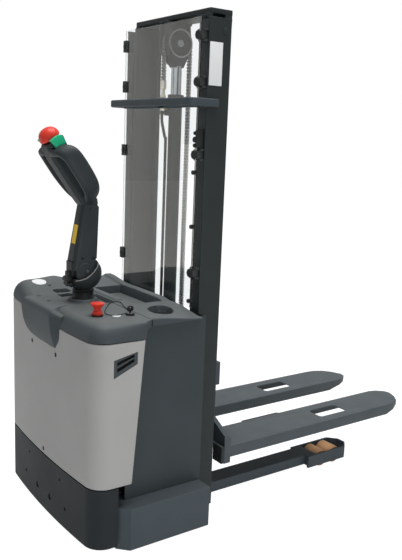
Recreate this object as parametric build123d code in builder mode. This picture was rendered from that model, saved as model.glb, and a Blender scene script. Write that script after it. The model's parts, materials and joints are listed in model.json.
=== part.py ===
from build123d import *

import os
from math import cos, pi, radians, sin, tan

# Electric stacker with a two-stage mast, support legs and a tiller, in millimetres.
# X runs forward to the fork tips, Y to the truck's left, Z up.  The origin is on the floor, in the
# middle of the length and width.  Distances called ahead or behind are from the mast's rear face.

# Overall sizes
fork_length = 1150.0
fork_heel = 197.0
console_reach = 538.0
chassis_width = 866.0
mast_x = (console_reach - fork_heel - fork_length) / 2

# Clearances
seat_gap = 0.3
turn_gap = 0.3
panel_gap = 2.0
slide_gap = 0.5

# Outer mast
mast_half = 301.0
mast_depth = 103.0
mast_web = 10.0
mast_flange = 12.0
mast_lip = 51.0
mast_round = 4.0
mast_top = 1966.0
foot_low = 25.0
foot_top = 76.0
tie_low = 1650.0
tie_top = 1690.0
tie_depth = 12.0

# Inner mast, at the height it stands at rest
stage_gap = 4.0
inner_half = mast_half - mast_lip - stage_gap
inner_lip = 42.0
inner_low = 170.0
inner_top = 1985.0
lowering = 86.0
cap_half = 273.0
cap_height = 26.0
cap_rear = 22.0
cap_depth = 103.0
roller_radius = mast_depth / 2 - mast_flange - slide_gap
roller_stub = 12.0
roller_x = mast_depth / 2
mast_roller_z = inner_low + 55.0

# Lift cylinder, crosshead and chain
cylinder_x = 60.0
cylinder_radius = 40.0
cylinder_bore = 33.0
gland_radius = cylinder_radius + 4.0
gland_top = tie_top + 16.0
port_low = 1592.0
rod_radius = 21.0
rod_low = 185.0
rod_top = 1816.0
piston_height = 40.0
pulley_z = 1906.0
pulley_root = 55.0
pulley_flange = 63.0
pulley_width = 30.0
pulley_pin = 10.0
chain_depth = 12.0
chain_width = 25.0
chain_radius = pulley_root + seat_gap + chain_depth / 2
chain_rear_x = cylinder_x - chain_radius
chain_front_x = cylinder_x + chain_radius
anchor_top = 1759.0
nut_radius = 9.0
hose_radius = 6.0
hose_x = cylinder_x - cylinder_radius - hose_radius - 6.0
chain_lug_z = 425.0
chain_lug_top = 510.0

# Carriage and forks, at the height they stand at rest
carriage_plate = 10.0
carriage_half = inner_half - inner_lip - stage_gap
carriage_rear = 25.0
carriage_low = 255.0
carriage_top = 605.0
carriage_front = 175.0
lower_roller_z = 300.0
upper_roller_z = 550.0
carriage_stub = 15.0
fork_outer = 297.0
fork_width = 191.0
fork_top = 260.0
fork_depth = 51.0
fork_skin = 6.0
fork_wall = 8.0
fork_nose = 80.0
fork_round = 14.0
cheek_low = 185.0
cheek_top = 300.0
window_rear = 779.0
window_front = 949.0
window_width = 85.0

# Support legs and load rollers
leg_inner = 140.0
leg_outer = 230.0
leg_low = 29.0
leg_front = 988.0
leg_wall = 8.0
leg_round = 5.0
bogie_rear = 705.0
bogie_low = 20.0
bogie_inner = 128.0
bogie_outer = 258.0
bogie_wall = 10.0
bogie_nose = 42.0
load_radius = 40.0
load_bore = 10.0
load_xs = (808.0, 894.0)
load_width = 96.0

# Power unit body
panel_return = 54.0
panel_half = mast_half + panel_return
cover_step = 55.0
body_half = panel_half + cover_step
body_rear = 520.0
body_bow = 22.0
body_corner = 74.0
skirt_low = 40.0
skirt_top = 272.0
skirt_wall = 6.0
cover_low = 275.0
cover_top = 820.0
cover_wall = 4.0
cover_front_low = 345.0
cover_front_top = 301.0
panel_wall = 4.0
panel_top = 865.0
console_low = 823.0
console_top = 885.0
console_front = 30.0
console_half = panel_half + 17.0
console_step = 262.0
console_wall = 4.0

# Caster boxes and deck
box_top = 184.5
box_low = 21.0
tie_half = inner_half - 16.0
box_inner = tie_half + 6.0
box_rear = 400.0
box_front = 3.0
box_chamfer = 40.0
box_wall = 5.0
box_round = 4.0
box_half = chassis_width / 2
deck_half = box_inner + 64.0
deck_thick = 8.0
deck_top = box_top + deck_thick
tie_clear = 18.0
battery_half = 330.0
battery_top = 790.0
caster_x = 200.0
caster_y = (box_inner + box_half) / 2
caster_trail = 35.0
caster_radius = 52.0
caster_width = 45.0
caster_stem = 10.0

# Drive unit and steering
steer_behind = 351.0
wheel_radius = 105.0
wheel_width = 64.0
wheel_axle = 15.0
tower_radius = wheel_radius + 19.0
tower_top = 2 * wheel_radius + 98.0
bulkhead_x = steer_behind - tower_radius - 5.0
neck_radius = 63.5
motor_radius = 58.0
motor_top = tower_top + 212.0
column_radius = 30.0
collar_radius = 48.0
collar_low = 888.0
column_top = collar_low + 9.0
collar_top = 944.0

# Tiller
pivot_behind = 357.0
pivot_z = 1003.0
pivot_pin = 8.0
post_half = 20.0
clevis_half = 37.0
knuckle_radius = 48.0
arm_lean = 6.4
arm_length = 290.0
head_lean = 41.0
head_half = 33.0
head_thick = 50.0
head_length = 256.0
loop_half = 124.0
loop_thick = 60.0
button_length = 52.0
stem_v = -6.0
cap_v = 14.0
butterfly_u = 236.0
butterfly_v = 18.0
butterfly_radius = 24.0
button_half = head_half + 7.0
wing_inner = button_half + 1.0
wing_outer = wing_inner + 20.0
rocker_u = 120.0
rocker_pin = 3.0


def ahead(distance):
    """X of a plane so far ahead of the mast's rear face."""
    return mast_x + distance


def block(x_span, y_span, z_span, mode=Mode.ADD):
    """Box between two corners."""
    spans = (x_span, y_span, z_span)
    with Locations(tuple((low + high) / 2 for low, high in spans)):
        Box(*(high - low for low, high in spans), mode=mode)


def post(x, y, radius, z_span, mode=Mode.ADD):
    """Upright cylinder between two levels."""
    with Locations((x, y, (z_span[0] + z_span[1]) / 2)):
        Cylinder(radius, z_span[1] - z_span[0], mode=mode)


def shaft(x, z, radius, y_span, mode=Mode.ADD):
    """Cylinder across the truck, between two values of Y."""
    middle = (y_span[0] + y_span[1]) / 2
    with Locations(Location((x, middle, z), (90, 0, 0))):
        Cylinder(radius, abs(y_span[1] - y_span[0]), mode=mode)


def stud(y, z, radius, x_span, mode=Mode.ADD):
    """Cylinder along the truck, between two values of X."""
    with Locations(Location(((x_span[0] + x_span[1]) / 2, y, z), (0, 90, 0))):
        Cylinder(radius, x_span[1] - x_span[0], mode=mode)


def outline(points, plane):
    """Closed straight-sided face on a plane."""
    with BuildSketch(plane) as face:
        with BuildLine():
            Polyline(*points, close=True)
        make_face()
    return face.sketch


def side_profile(points, y_span, mode=Mode.ADD):
    """Prism across the truck from points in X and Z."""
    face = outline(points, Plane.XZ.offset(-y_span[1]))
    extrude(face, amount=y_span[1] - y_span[0], mode=mode)


def front_profile(points, x_span, mode=Mode.ADD):
    """Prism along the truck from points in Y and Z."""
    face = outline(points, Plane.YZ.offset(x_span[0]))
    extrude(face, amount=x_span[1] - x_span[0], mode=mode)


def plan_profile(points, z_span, mode=Mode.ADD):
    """Upright prism from points in X and Y."""
    face = outline(points, Plane.XY.offset(z_span[0]))
    extrude(face, amount=z_span[1] - z_span[0], mode=mode)


def body_plan(level, inset, front):
    """Plan of the power unit: bowed rear, round rear corners and straight sides."""
    half = body_half - inset
    rear = ahead(-body_rear) + inset
    with BuildSketch(Plane.XY.offset(level)) as plan:
        with BuildLine():
            ThreePointArc((rear + body_bow, -half), (rear, 0), (rear + body_bow, half))
            Polyline((rear + body_bow, half), (front, half), (front, -half), (rear + body_bow, -half))
        make_face()
        fillet(plan.vertices().sort_by(Axis.X)[:2], radius=body_corner - inset)
    return plan.sketch


def span(side, low, high):
    """Range of Y on one side, from distances off the middle plane."""
    return (low, high) if side > 0 else (-high, -low)


def finish(builder, label):
    """Name a finished piece and write it out."""
    builder.part.label = label
    export_step(builder.part, f"parts/{label}.step")


os.makedirs("parts", exist_ok=True)
sides = (("left", 1), ("right", -1))
steer_x = ahead(-steer_behind)
front = ahead(fork_heel + fork_length)


# Deck, drive tower and bulkhead, welded together
with BuildPart() as base_frame:
    extrude(body_plan(box_top, skirt_wall + seat_gap, ahead(-box_rear)), amount=deck_thick)
    block((ahead(-box_rear - 20), ahead(0)), (-deck_half, deck_half), (box_top, deck_top))
    block((ahead(-tie_clear), ahead(0)), (-mast_half + mast_lip, mast_half - mast_lip), (box_top, deck_top),
          mode=Mode.SUBTRACT)
    post(steer_x, 0, tower_radius, (box_top, tower_top))
    post(steer_x, 0, tower_radius - 6, (box_top, tower_top - 8), mode=Mode.SUBTRACT)
    post(steer_x, 0, neck_radius + slide_gap, (tower_top - 8, tower_top), mode=Mode.SUBTRACT)
    block((ahead(-bulkhead_x), ahead(-bulkhead_x + 6)), (-panel_half + 6, panel_half - 6),
          (deck_top, cover_top - 30))
    block((ahead(-130), ahead(-118)), (-25, 25), (box_top - 100, box_top))
    stud(0, 96, 6.3, (ahead(-131), ahead(-117)), mode=Mode.SUBTRACT)
finish(base_frame, "base_frame")

# Caster boxes, closed on top and at the sides and open underneath
for side_name, side in sides:
    box_plan = ((ahead(-box_rear), side * box_inner), (ahead(box_front) - 5, side * box_inner),
                (ahead(box_front) - 5, side * box_half), (ahead(-box_rear + box_chamfer), side * box_half),
                (ahead(-box_rear), side * (box_half - box_chamfer)))
    with BuildPart() as side_box:
        plan_profile(box_plan, (box_low, box_top))
        fillet(side_box.edges().filter_by(Axis.Z), radius=box_round)
        fillet(side_box.faces().sort_by(Axis.Z)[-1].edges(), radius=box_round)
        with BuildSketch(Plane.XY.offset(box_low)) as bay:
            add(outline(box_plan, Plane.XY))
            offset(amount=-box_wall, mode=Mode.REPLACE)
        extrude(amount=box_top - box_low - box_wall, mode=Mode.SUBTRACT)
        post(ahead(-caster_x), side * caster_y, caster_stem + turn_gap,
             (box_top - box_wall, box_top), mode=Mode.SUBTRACT)
    finish(side_box, f"side_box_{side_name}")

# Steel skirt around the drive wheel, with service holes in its rear face
with BuildPart() as rear_skirt:
    extrude(body_plan(skirt_low, 0, ahead(-box_rear - panel_gap)), amount=skirt_top - skirt_low)
    extrude(body_plan(skirt_low, skirt_wall, ahead(-box_rear + 20)), amount=skirt_top - skirt_low,
            mode=Mode.SUBTRACT)
    for hole_y, hole_z, hole_radius in ((62, 113, 13), (149, 223, 5), (194, 121, 7)):
        for side in (-1, 1):
            stud(side * hole_y, hole_z, hole_radius, (ahead(-body_rear - 20), ahead(-body_rear + 60)),
                 mode=Mode.SUBTRACT)
finish(rear_skirt, "rear_skirt")

# Straight-sided side panels, bent inwards at the mast
for side_name, side in sides:
    with BuildPart() as side_panel:
        side_profile(((ahead(-345), box_top), (ahead(-1), box_top), (ahead(-1), panel_top),
                      (ahead(-345), panel_top)), span(side, panel_half - panel_wall, panel_half))
        block((ahead(-5), ahead(-1)), span(side, mast_half + panel_gap, panel_half), (box_top, panel_top))
    finish(side_panel, f"side_panel_{side_name}")

# Rear cover: a bowed shell whose front edge slants forward as it rises
cover_slant = ((ahead(-cover_front_low), cover_low), (ahead(-cover_front_top), cover_top),
               (ahead(0), cover_top), (ahead(0), cover_low))
core_slant = tuple((x - cover_wall, z) for x, z in cover_slant)
vent_points = ((ahead(-418), 668), (ahead(-326), 668), (ahead(-317), 786), (ahead(-410), 786))
with BuildPart() as cover_core:
    extrude(body_plan(cover_low, cover_wall, ahead(0)), amount=cover_top - cover_low)
    side_profile(core_slant, (-body_half, body_half), mode=Mode.SUBTRACT)
with BuildPart() as rear_cover:
    extrude(body_plan(cover_low, 0, ahead(0)), amount=cover_top - cover_low)
    side_profile(cover_slant, (-body_half, body_half), mode=Mode.SUBTRACT)
    add(cover_core.part, mode=Mode.SUBTRACT)
    block((ahead(-400), ahead(0)), (-panel_half - slide_gap, panel_half + slide_gap),
          (cover_low, cover_top), mode=Mode.SUBTRACT)
    for side in (-1, 1):
        side_profile(vent_points, span(side, body_half - 20, body_half + 10), mode=Mode.SUBTRACT)
finish(rear_cover, "rear_cover")

# Louvred vents set into both sides of the rear cover
with BuildPart() as vent_grilles:
    for side in (-1, 1):
        with BuildSketch(Plane.XZ.offset(-body_half if side > 0 else body_half - cover_wall)) as vent:
            add(outline(vent_points, Plane.XY))
            offset(amount=-slide_gap, mode=Mode.REPLACE)
            for row in range(6):
                with Locations((ahead(-368 + 1.6 * row), 682 + 18 * row)):
                    Rectangle(72, 8, mode=Mode.SUBTRACT)
        extrude(amount=cover_wall)
finish(vent_grilles, "vent_grilles")

# Top cover with its shoulders, console and rear tongue
console_plan = ((ahead(-console_step - 40), -console_half), (ahead(-console_front), -console_half),
                (ahead(-console_front), console_half), (ahead(-console_step - 40), console_half))
core_plan = tuple((x - console_wall, y * (1 - console_wall / console_half)) for x, y in console_plan)
tongue = ((-114, 742), (114, 742), (150, console_low), (150, console_top), (-150, console_top),
          (-150, console_low))
with BuildPart() as top_cover:
    extrude(body_plan(console_low, 0, ahead(-console_step)), amount=console_top - console_low)
    plan_profile(console_plan, (console_low, console_top))
    extrude(body_plan(console_low, console_wall, ahead(-console_step - console_wall)),
            amount=console_top - console_low - console_wall, mode=Mode.SUBTRACT)
    plan_profile(core_plan, (console_low, console_top - console_wall), mode=Mode.SUBTRACT)
    front_profile(tongue, (ahead(-console_reach), ahead(-body_rear - 1.2)))
    block((ahead(-console_reach), ahead(-body_rear + 30)), (-150, 150),
          (console_top - console_wall, console_top))
    post(steer_x, 0, collar_radius + 5, (console_low, console_top), mode=Mode.SUBTRACT)
    for side in (-1, 1):
        block((ahead(-console_front - 2 * console_wall), ahead(-console_front + 1)),
              span(side, panel_half - panel_wall - slide_gap, panel_half + slide_gap),
              (console_low, panel_top + slide_gap), mode=Mode.SUBTRACT)
finish(top_cover, "top_cover")

# Screws that hold the rear cover
with BuildPart() as cover_screws:
    for screw_y, screw_z in ((-113, 715), (113, 715), (0, 296)):
        arc_x = ahead(-body_rear) + body_bow * (screw_y / body_half) ** 2
        stud(screw_y, screw_z, 7, (arc_x - 3.5, arc_x - 0.5))
finish(cover_screws, "cover_screws")

# Battery pack with its terminal posts
with BuildPart() as battery:
    block((ahead(10 - bulkhead_x), ahead(-42)), (-battery_half, battery_half), (deck_top, battery_top))
    for terminal_y in (-240, 240):
        post(ahead((10 - bulkhead_x - 42) / 2), terminal_y, 14, (battery_top, battery_top + 16))
finish(battery, "battery")

# Pump motor, pump block and oil tank
with BuildPart() as hydraulic_power_unit:
    block((ahead(-395), ahead(-285)), (170, 320), (deck_top, deck_top + 90))
    post(ahead(-340), 245, 45, (deck_top + 90, deck_top + 230))
    block((ahead(-390), ahead(-260)), (175, 320), (deck_top + 230, deck_top + 430))
    post(ahead(-300), 210, 18, (deck_top + 430, deck_top + 450))
finish(hydraulic_power_unit, "hydraulic_power_unit")

# Motor controller on the bulkhead, with its cooling fins
with BuildPart() as motor_controller:
    block((ahead(-bulkhead_x - 40), ahead(-bulkhead_x)), (-330, -170), (420, 620))
    for row in range(7):
        block((ahead(-bulkhead_x - 52), ahead(-bulkhead_x - 40)), (-326, -174),
              (430 + 28 * row, 438 + 28 * row))
finish(motor_controller, "motor_controller")

# Outer mast: a channel on each side, with a lifting eye near its top, on one foot
for side_name, side in sides:
    with BuildPart() as outer_mast:
        block((ahead(0), ahead(mast_depth)), span(side, mast_half - mast_lip, mast_half),
              (foot_top, mast_top))
        fillet(outer_mast.edges().filter_by(Axis.Z), radius=mast_round)
        block((ahead(mast_flange), ahead(mast_depth - mast_flange)),
              span(side, mast_half - mast_lip, mast_half - mast_web), (foot_top, mast_top),
              mode=Mode.SUBTRACT)
        block((ahead(mast_depth - mast_flange), ahead(mast_depth)), span(side, 0, cap_half + 5),
              (inner_top - lowering - 40, mast_top), mode=Mode.SUBTRACT)
        shaft(ahead(73), 1929, 7, span(side, mast_half - mast_web - 1, mast_half + 1), mode=Mode.SUBTRACT)
    finish(outer_mast, f"outer_mast_{side_name}")
with BuildPart() as mast_foot:
    block((ahead(0), ahead(mast_depth)), (-mast_half, mast_half), (foot_low, foot_top))
finish(mast_foot, "mast_foot")

# Guard bar bent around the rear of the mast, with the cross tie and its chain lug welded to its ends
guard_y = mast_half + 4
with BuildPart() as guard_bar:
    with BuildSketch(Plane.XY.offset(tie_low + 4)):
        with BuildLine():
            FilletPolyline((ahead(49), -guard_y), (ahead(-79), -guard_y), (ahead(-79), guard_y),
                           (ahead(49), guard_y), radius=45)
        trace(line_width=8)
    extrude(amount=tie_top - tie_low - 4)
    fillet(guard_bar.faces().filter_by(Axis.Z).edges(), radius=1.5)
    block((ahead(-tie_depth), ahead(0)), (-guard_y, guard_y), (tie_low, tie_top))
    block((ahead(-tie_depth), ahead(cylinder_x - cylinder_radius - slide_gap)), (-20, 20),
          (tie_low, tie_top))
    post(ahead(chain_rear_x), 0, 6.3, (tie_low, tie_top), mode=Mode.SUBTRACT)
finish(guard_bar, "guard_bar")

# Support legs: an inverted channel that ends in a wider bogie box, open above and below the rollers
for side_name, side in sides:
    nose = ((ahead(bogie_rear), side * bogie_inner), (ahead(leg_front - bogie_nose), side * bogie_inner),
            (ahead(leg_front), side * (bogie_inner + bogie_nose)),
            (ahead(leg_front), side * (bogie_outer - bogie_nose)),
            (ahead(leg_front - bogie_nose), side * bogie_outer), (ahead(bogie_rear), side * bogie_outer))
    with BuildPart() as support_leg:
        block((ahead(mast_depth), ahead(bogie_rear + 55)), span(side, leg_inner, leg_outer),
              (leg_low, foot_top))
        fillet(support_leg.faces().sort_by(Axis.Z)[-1].edges().filter_by(Axis.X), radius=leg_round)
        block((ahead(mast_depth), ahead(bogie_rear + 55 - leg_wall)),
              span(side, leg_inner + leg_wall, leg_outer - leg_wall), (leg_low, foot_top - leg_wall),
              mode=Mode.SUBTRACT)
        with BuildSketch(Plane.XY.offset(bogie_low)) as bogie:
            add(outline(nose, Plane.XY))
            fillet(bogie.vertices().sort_by(Axis.X)[2:], radius=14)
            with BuildLine():
                Polyline((ahead(bogie_rear - 1), side * (bogie_inner + bogie_wall)),
                         (ahead(leg_front - bogie_nose), side * (bogie_inner + bogie_wall)),
                         (ahead(leg_front - bogie_wall), side * (bogie_inner + bogie_nose)),
                         (ahead(leg_front - bogie_wall), side * (bogie_outer - bogie_nose)),
                         (ahead(leg_front - bogie_nose), side * (bogie_outer - bogie_wall)),
                         (ahead(bogie_rear - 1), side * (bogie_outer - bogie_wall)), close=True)
            make_face(mode=Mode.SUBTRACT)
        extrude(amount=foot_top - bogie_low)
        block((ahead(bogie_rear), ahead(bogie_rear + 55)), span(side, bogie_inner, bogie_outer),
              (foot_top - leg_wall, foot_top))
        block((ahead(bogie_rear), ahead(bogie_rear + leg_wall)), span(side, bogie_inner, bogie_outer),
              (bogie_low + 9, foot_top))
        for axle_x in load_xs:
            shaft(ahead(axle_x), load_radius, load_bore, span(side, bogie_inner + 2, bogie_outer - 2),
                  mode=Mode.SUBTRACT)
    finish(support_leg, f"support_leg_{side_name}")

# Load roller axles, held between the bogie walls
leg_middle = (bogie_inner + bogie_outer) / 2
with BuildPart() as load_roller_axles:
    for side in (-1, 1):
        for axle_x in load_xs:
            shaft(ahead(axle_x), load_radius, load_bore - 0.1, span(side, bogie_inner + 2, bogie_outer - 2))
finish(load_roller_axles, "load_roller_axles")

# Load rollers with rounded edges
for side_name, side in sides:
    for place, axle_x in zip(("rear", "front"), load_xs):
        with BuildPart() as load_roller:
            shaft(ahead(axle_x), load_radius, load_radius,
                  span(side, leg_middle - load_width / 2, leg_middle + load_width / 2))
            fillet(load_roller.edges().filter_by(GeomType.CIRCLE), radius=4)
            shaft(ahead(axle_x), load_radius, load_bore + turn_gap, span(side, bogie_inner, bogie_outer),
                  mode=Mode.SUBTRACT)
        finish(load_roller, f"load_roller_{place}_{side_name}")

# Clear shield behind the mast and the clips that hold its edges
shield_rear = chain_radius - cylinder_x + chain_depth / 2 + 14.7
shield_wall = 4.0
shield_half = 280.0
clip_levels = (1010.0, 1457.0, 1735.0, 1908.0)
with BuildPart() as shield:
    block((ahead(-shield_rear), ahead(-shield_rear + shield_wall)), (-shield_half, shield_half),
          (cover_top + 62, mast_top + 6))
finish(shield, "shield")
with BuildPart() as shield_clips:
    for side in (-1, 1):
        for level in clip_levels:
            block((ahead(-shield_rear - 8), ahead(0)), span(side, shield_half - 14, mast_half - 8),
                  (level - 13, level + 13))
            block((ahead(-shield_rear - seat_gap), ahead(-shield_rear + shield_wall + seat_gap)),
                  span(side, shield_half - 20, shield_half + seat_gap), (level - 14, level + 14),
                  mode=Mode.SUBTRACT)
            stud(side * (shield_half + 1), level, 10, (ahead(-shield_rear - 20), ahead(-shield_rear - 8)))
finish(shield_clips, "shield_clips")

# Lift cylinder with its port block on the rear
with BuildPart() as lift_cylinder:
    post(ahead(cylinder_x), 0, cylinder_radius, (foot_top, tie_top))
    post(ahead(cylinder_x), 0, gland_radius, (tie_top, gland_top))
    block((ahead(hose_x - hose_radius), ahead(cylinder_x - cylinder_radius + 6)), (-10, 10),
          (port_low, port_low + 26))
    post(ahead(cylinder_x), 0, cylinder_bore, (foot_top + 8, tie_top), mode=Mode.SUBTRACT)
    post(ahead(cylinder_x), 0, rod_radius + turn_gap, (tie_top - 1, gland_top), mode=Mode.SUBTRACT)
finish(lift_cylinder, "lift_cylinder")

# Hydraulic hose down the rear of the cylinder and back under the deck
with BuildPart() as hydraulic_hose:
    with BuildLine() as hose_run:
        FilletPolyline((ahead(hose_x), 0, port_low), (ahead(hose_x), 0, 96), (ahead(-132), 0, 96),
                       radius=40)
    with BuildSketch(Plane((ahead(hose_x), 0, port_low), z_dir=(0, 0, -1))):
        Circle(hose_radius)
    sweep()
finish(hydraulic_hose, "hydraulic_hose")
hose_length = hose_run.wires()[0].length
print("hose length", round(hose_length, 1), "volume", round(hydraulic_hose.part.volume),
      "section times length", round(pi * hose_radius ** 2 * hose_length))

# Chain anchor: a threaded rod with its nut on the lug and a clevis above
with BuildPart() as chain_anchor_bolt:
    post(ahead(chain_rear_x), 0, 6, (tie_low - 6, anchor_top - 20))
    post(ahead(chain_rear_x), 0, nut_radius, (tie_top, tie_top + 10))
    post(ahead(chain_rear_x), 0, nut_radius, (tie_low - 6, tie_low))
    block((ahead(chain_rear_x - 6), ahead(chain_rear_x + 6)), (-13, 13), (anchor_top - 26, anchor_top))
finish(chain_anchor_bolt, "chain_anchor_bolt")

# Leaf chain: the fixed strand, the turn over the pulley and the strand to the carriage
with BuildPart() as chain_fixed_strand:
    block((ahead(chain_rear_x - chain_depth / 2), ahead(chain_rear_x + chain_depth / 2)),
          (-chain_width / 2, chain_width / 2), (anchor_top, pulley_z))
finish(chain_fixed_strand, "chain_fixed_strand")
with BuildPart() as chain_over_pulley:
    shaft(ahead(cylinder_x), pulley_z, chain_radius + chain_depth / 2, (-chain_width / 2, chain_width / 2))
    shaft(ahead(cylinder_x), pulley_z, chain_radius - chain_depth / 2, (-chain_width / 2, chain_width / 2),
          mode=Mode.SUBTRACT)
    block((ahead(cylinder_x - 2 * chain_radius), ahead(cylinder_x + 2 * chain_radius)),
          (-chain_width, chain_width),
          (pulley_z - 2 * chain_radius, pulley_z), mode=Mode.SUBTRACT)
finish(chain_over_pulley, "chain_over_pulley")
with BuildPart() as chain_carriage_strand:
    block((ahead(chain_front_x - chain_depth / 2), ahead(chain_front_x + chain_depth / 2)),
          (-chain_width / 2, chain_width / 2), (chain_lug_top, pulley_z))
finish(chain_carriage_strand, "chain_carriage_strand")

# Pulley with side flanges, running on the crosshead's pin
with BuildPart() as pulley:
    shaft(ahead(cylinder_x), pulley_z, pulley_root, (-pulley_width / 2, pulley_width / 2))
    for side in (-1, 1):
        shaft(ahead(cylinder_x), pulley_z, pulley_flange,
              span(side, chain_width / 2 + 0.5, pulley_width / 2))
        shaft(ahead(cylinder_x), pulley_z, pulley_root - 12,
              span(side, pulley_width / 2 - 4, pulley_width / 2),
              mode=Mode.SUBTRACT)
        shaft(ahead(cylinder_x), pulley_z, pulley_pin + 8,
              span(side, pulley_width / 2 - 4, pulley_width / 2))
    shaft(ahead(cylinder_x), pulley_z, pulley_pin + turn_gap, (-pulley_width, pulley_width),
          mode=Mode.SUBTRACT)
finish(pulley, "pulley")

# Piston rod with the crosshead that carries the pulley
yoke_inner = pulley_width / 2 + 2
with BuildPart() as piston_rod:
    post(ahead(cylinder_x), 0, cylinder_bore - turn_gap, (rod_low, rod_low + piston_height))
    post(ahead(cylinder_x), 0, rod_radius, (rod_low, rod_top))
    block((ahead(cylinder_x - 25), ahead(cylinder_x + 25)), (-yoke_inner - 8, yoke_inner + 8),
          (rod_top, pulley_z - pulley_flange - 2))
    for side in (-1, 1):
        block((ahead(cylinder_x - 30), ahead(cylinder_x + 30)), span(side, yoke_inner, yoke_inner + 8),
              (rod_top, inner_top))
    block((ahead(4 - tie_clear), ahead(cap_rear + cap_depth)), (-yoke_inner - 8, yoke_inner + 8),
          (inner_top - 9, inner_top))
    shaft(ahead(cylinder_x), pulley_z, pulley_pin, (-yoke_inner - 10, yoke_inner + 10))
finish(piston_rod, "piston_rod")

# Inner mast: two channels inside the outer pair, tied at the foot and under the top bar
with BuildPart() as inner_mast:
    for side in (-1, 1):
        block((ahead(0), ahead(mast_depth)), span(side, inner_half - inner_lip, inner_half),
              (inner_low, inner_top))
    fillet(inner_mast.edges().filter_by(Axis.Z), radius=mast_round)
    for side in (-1, 1):
        block((ahead(mast_flange), ahead(mast_depth - mast_flange)),
              span(side, inner_half - inner_lip, inner_half - mast_web), (inner_low, inner_top),
              mode=Mode.SUBTRACT)
        shaft(ahead(roller_x), mast_roller_z, roller_stub,
              span(side, inner_half - 5, mast_half - mast_web - 4))
    for side in (-1, 1):
        for ear_x in (cap_rear, mast_depth - mast_flange):
            block((ahead(ear_x), ahead(ear_x + mast_flange)), span(side, inner_half - mast_web, cap_half - 3),
                  (inner_top - 30, inner_top))
    block((ahead(cap_rear), ahead(cap_rear + cap_depth)), (-cap_half, cap_half),
          (inner_top, inner_top + cap_height))
    block((ahead(4 - tie_clear), ahead(0)), (-tie_half, tie_half), (inner_low + 55, inner_low + 100))
    block((ahead(hose_x - hose_radius - 2), ahead(hose_x + hose_radius + 2)),
          (-hose_radius - 3, hose_radius + 3),
          (inner_low, inner_low + 101), mode=Mode.SUBTRACT)
finish(inner_mast, "inner_mast")

# Guide rollers of the inner mast, in the outer channels
with BuildPart() as mast_rollers:
    for side in (-1, 1):
        shaft(ahead(roller_x), mast_roller_z, roller_radius,
              span(side, inner_half + 2, mast_half - mast_web - 3))
        shaft(ahead(roller_x), mast_roller_z, roller_stub + turn_gap, span(side, inner_half, mast_half),
              mode=Mode.SUBTRACT)
finish(mast_rollers, "mast_rollers")

# Fork carriage: side plates with roller stubs, cross bars, chain lug and the front plate
with BuildPart() as carriage:
    for side in (-1, 1):
        block((ahead(carriage_rear), ahead(carriage_front)),
              span(side, carriage_half - carriage_plate, carriage_half),
              (carriage_low, carriage_top))
        for stub_z in (lower_roller_z, upper_roller_z):
            shaft(ahead(roller_x), stub_z, carriage_stub,
                  span(side, carriage_half - 5, inner_half - mast_web - 4))
        block((ahead(carriage_front), ahead(fork_heel)), span(side, 140, carriage_half - 24),
              (cheek_top, carriage_top))
        block((ahead(carriage_front), ahead(fork_heel)), span(side, 140, carriage_half),
              (carriage_top - 100, carriage_top))
    front_profile(((-fork_outer + fork_wall + seat_gap, carriage_low),
                   (fork_outer - fork_wall - seat_gap, carriage_low),
                   (fork_outer - fork_wall - seat_gap, cheek_top), (175, 357), (-175, 357),
                   (-fork_outer + fork_wall + seat_gap, cheek_top)),
                   (ahead(carriage_front), ahead(fork_heel)))
    block((ahead(carriage_front - 35), ahead(carriage_front)), (-carriage_half, carriage_half),
          (carriage_low + 20, carriage_low + 80))
    block((ahead(carriage_front - 35), ahead(fork_heel)), (-carriage_half, carriage_half),
          (carriage_top - 60, carriage_top))
    block((ahead(chain_front_x - 13), ahead(carriage_front - 10)), (-carriage_half, carriage_half),
          (chain_lug_z, chain_lug_z + 20))
    post(ahead(chain_front_x), 0, 6, (chain_lug_z, chain_lug_top - 20))
    post(ahead(chain_front_x), 0, nut_radius, (chain_lug_z + 20, chain_lug_z + 30))
    block((ahead(chain_front_x - 6), ahead(chain_front_x + 6)), (-13, 13),
          (chain_lug_top - 26, chain_lug_top))
finish(carriage, "carriage")

# Carriage rollers, in the inner channels
for place, stub_z in (("lower", lower_roller_z), ("upper", upper_roller_z)):
    with BuildPart() as carriage_rollers:
        for side in (-1, 1):
            shaft(ahead(roller_x), stub_z, roller_radius,
                  span(side, carriage_half + 2, inner_half - mast_web - 3))
            shaft(ahead(roller_x), stub_z, carriage_stub + turn_gap, span(side, carriage_half, inner_half),
                  mode=Mode.SUBTRACT)
    finish(carriage_rollers, f"carriage_rollers_{place}")

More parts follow.
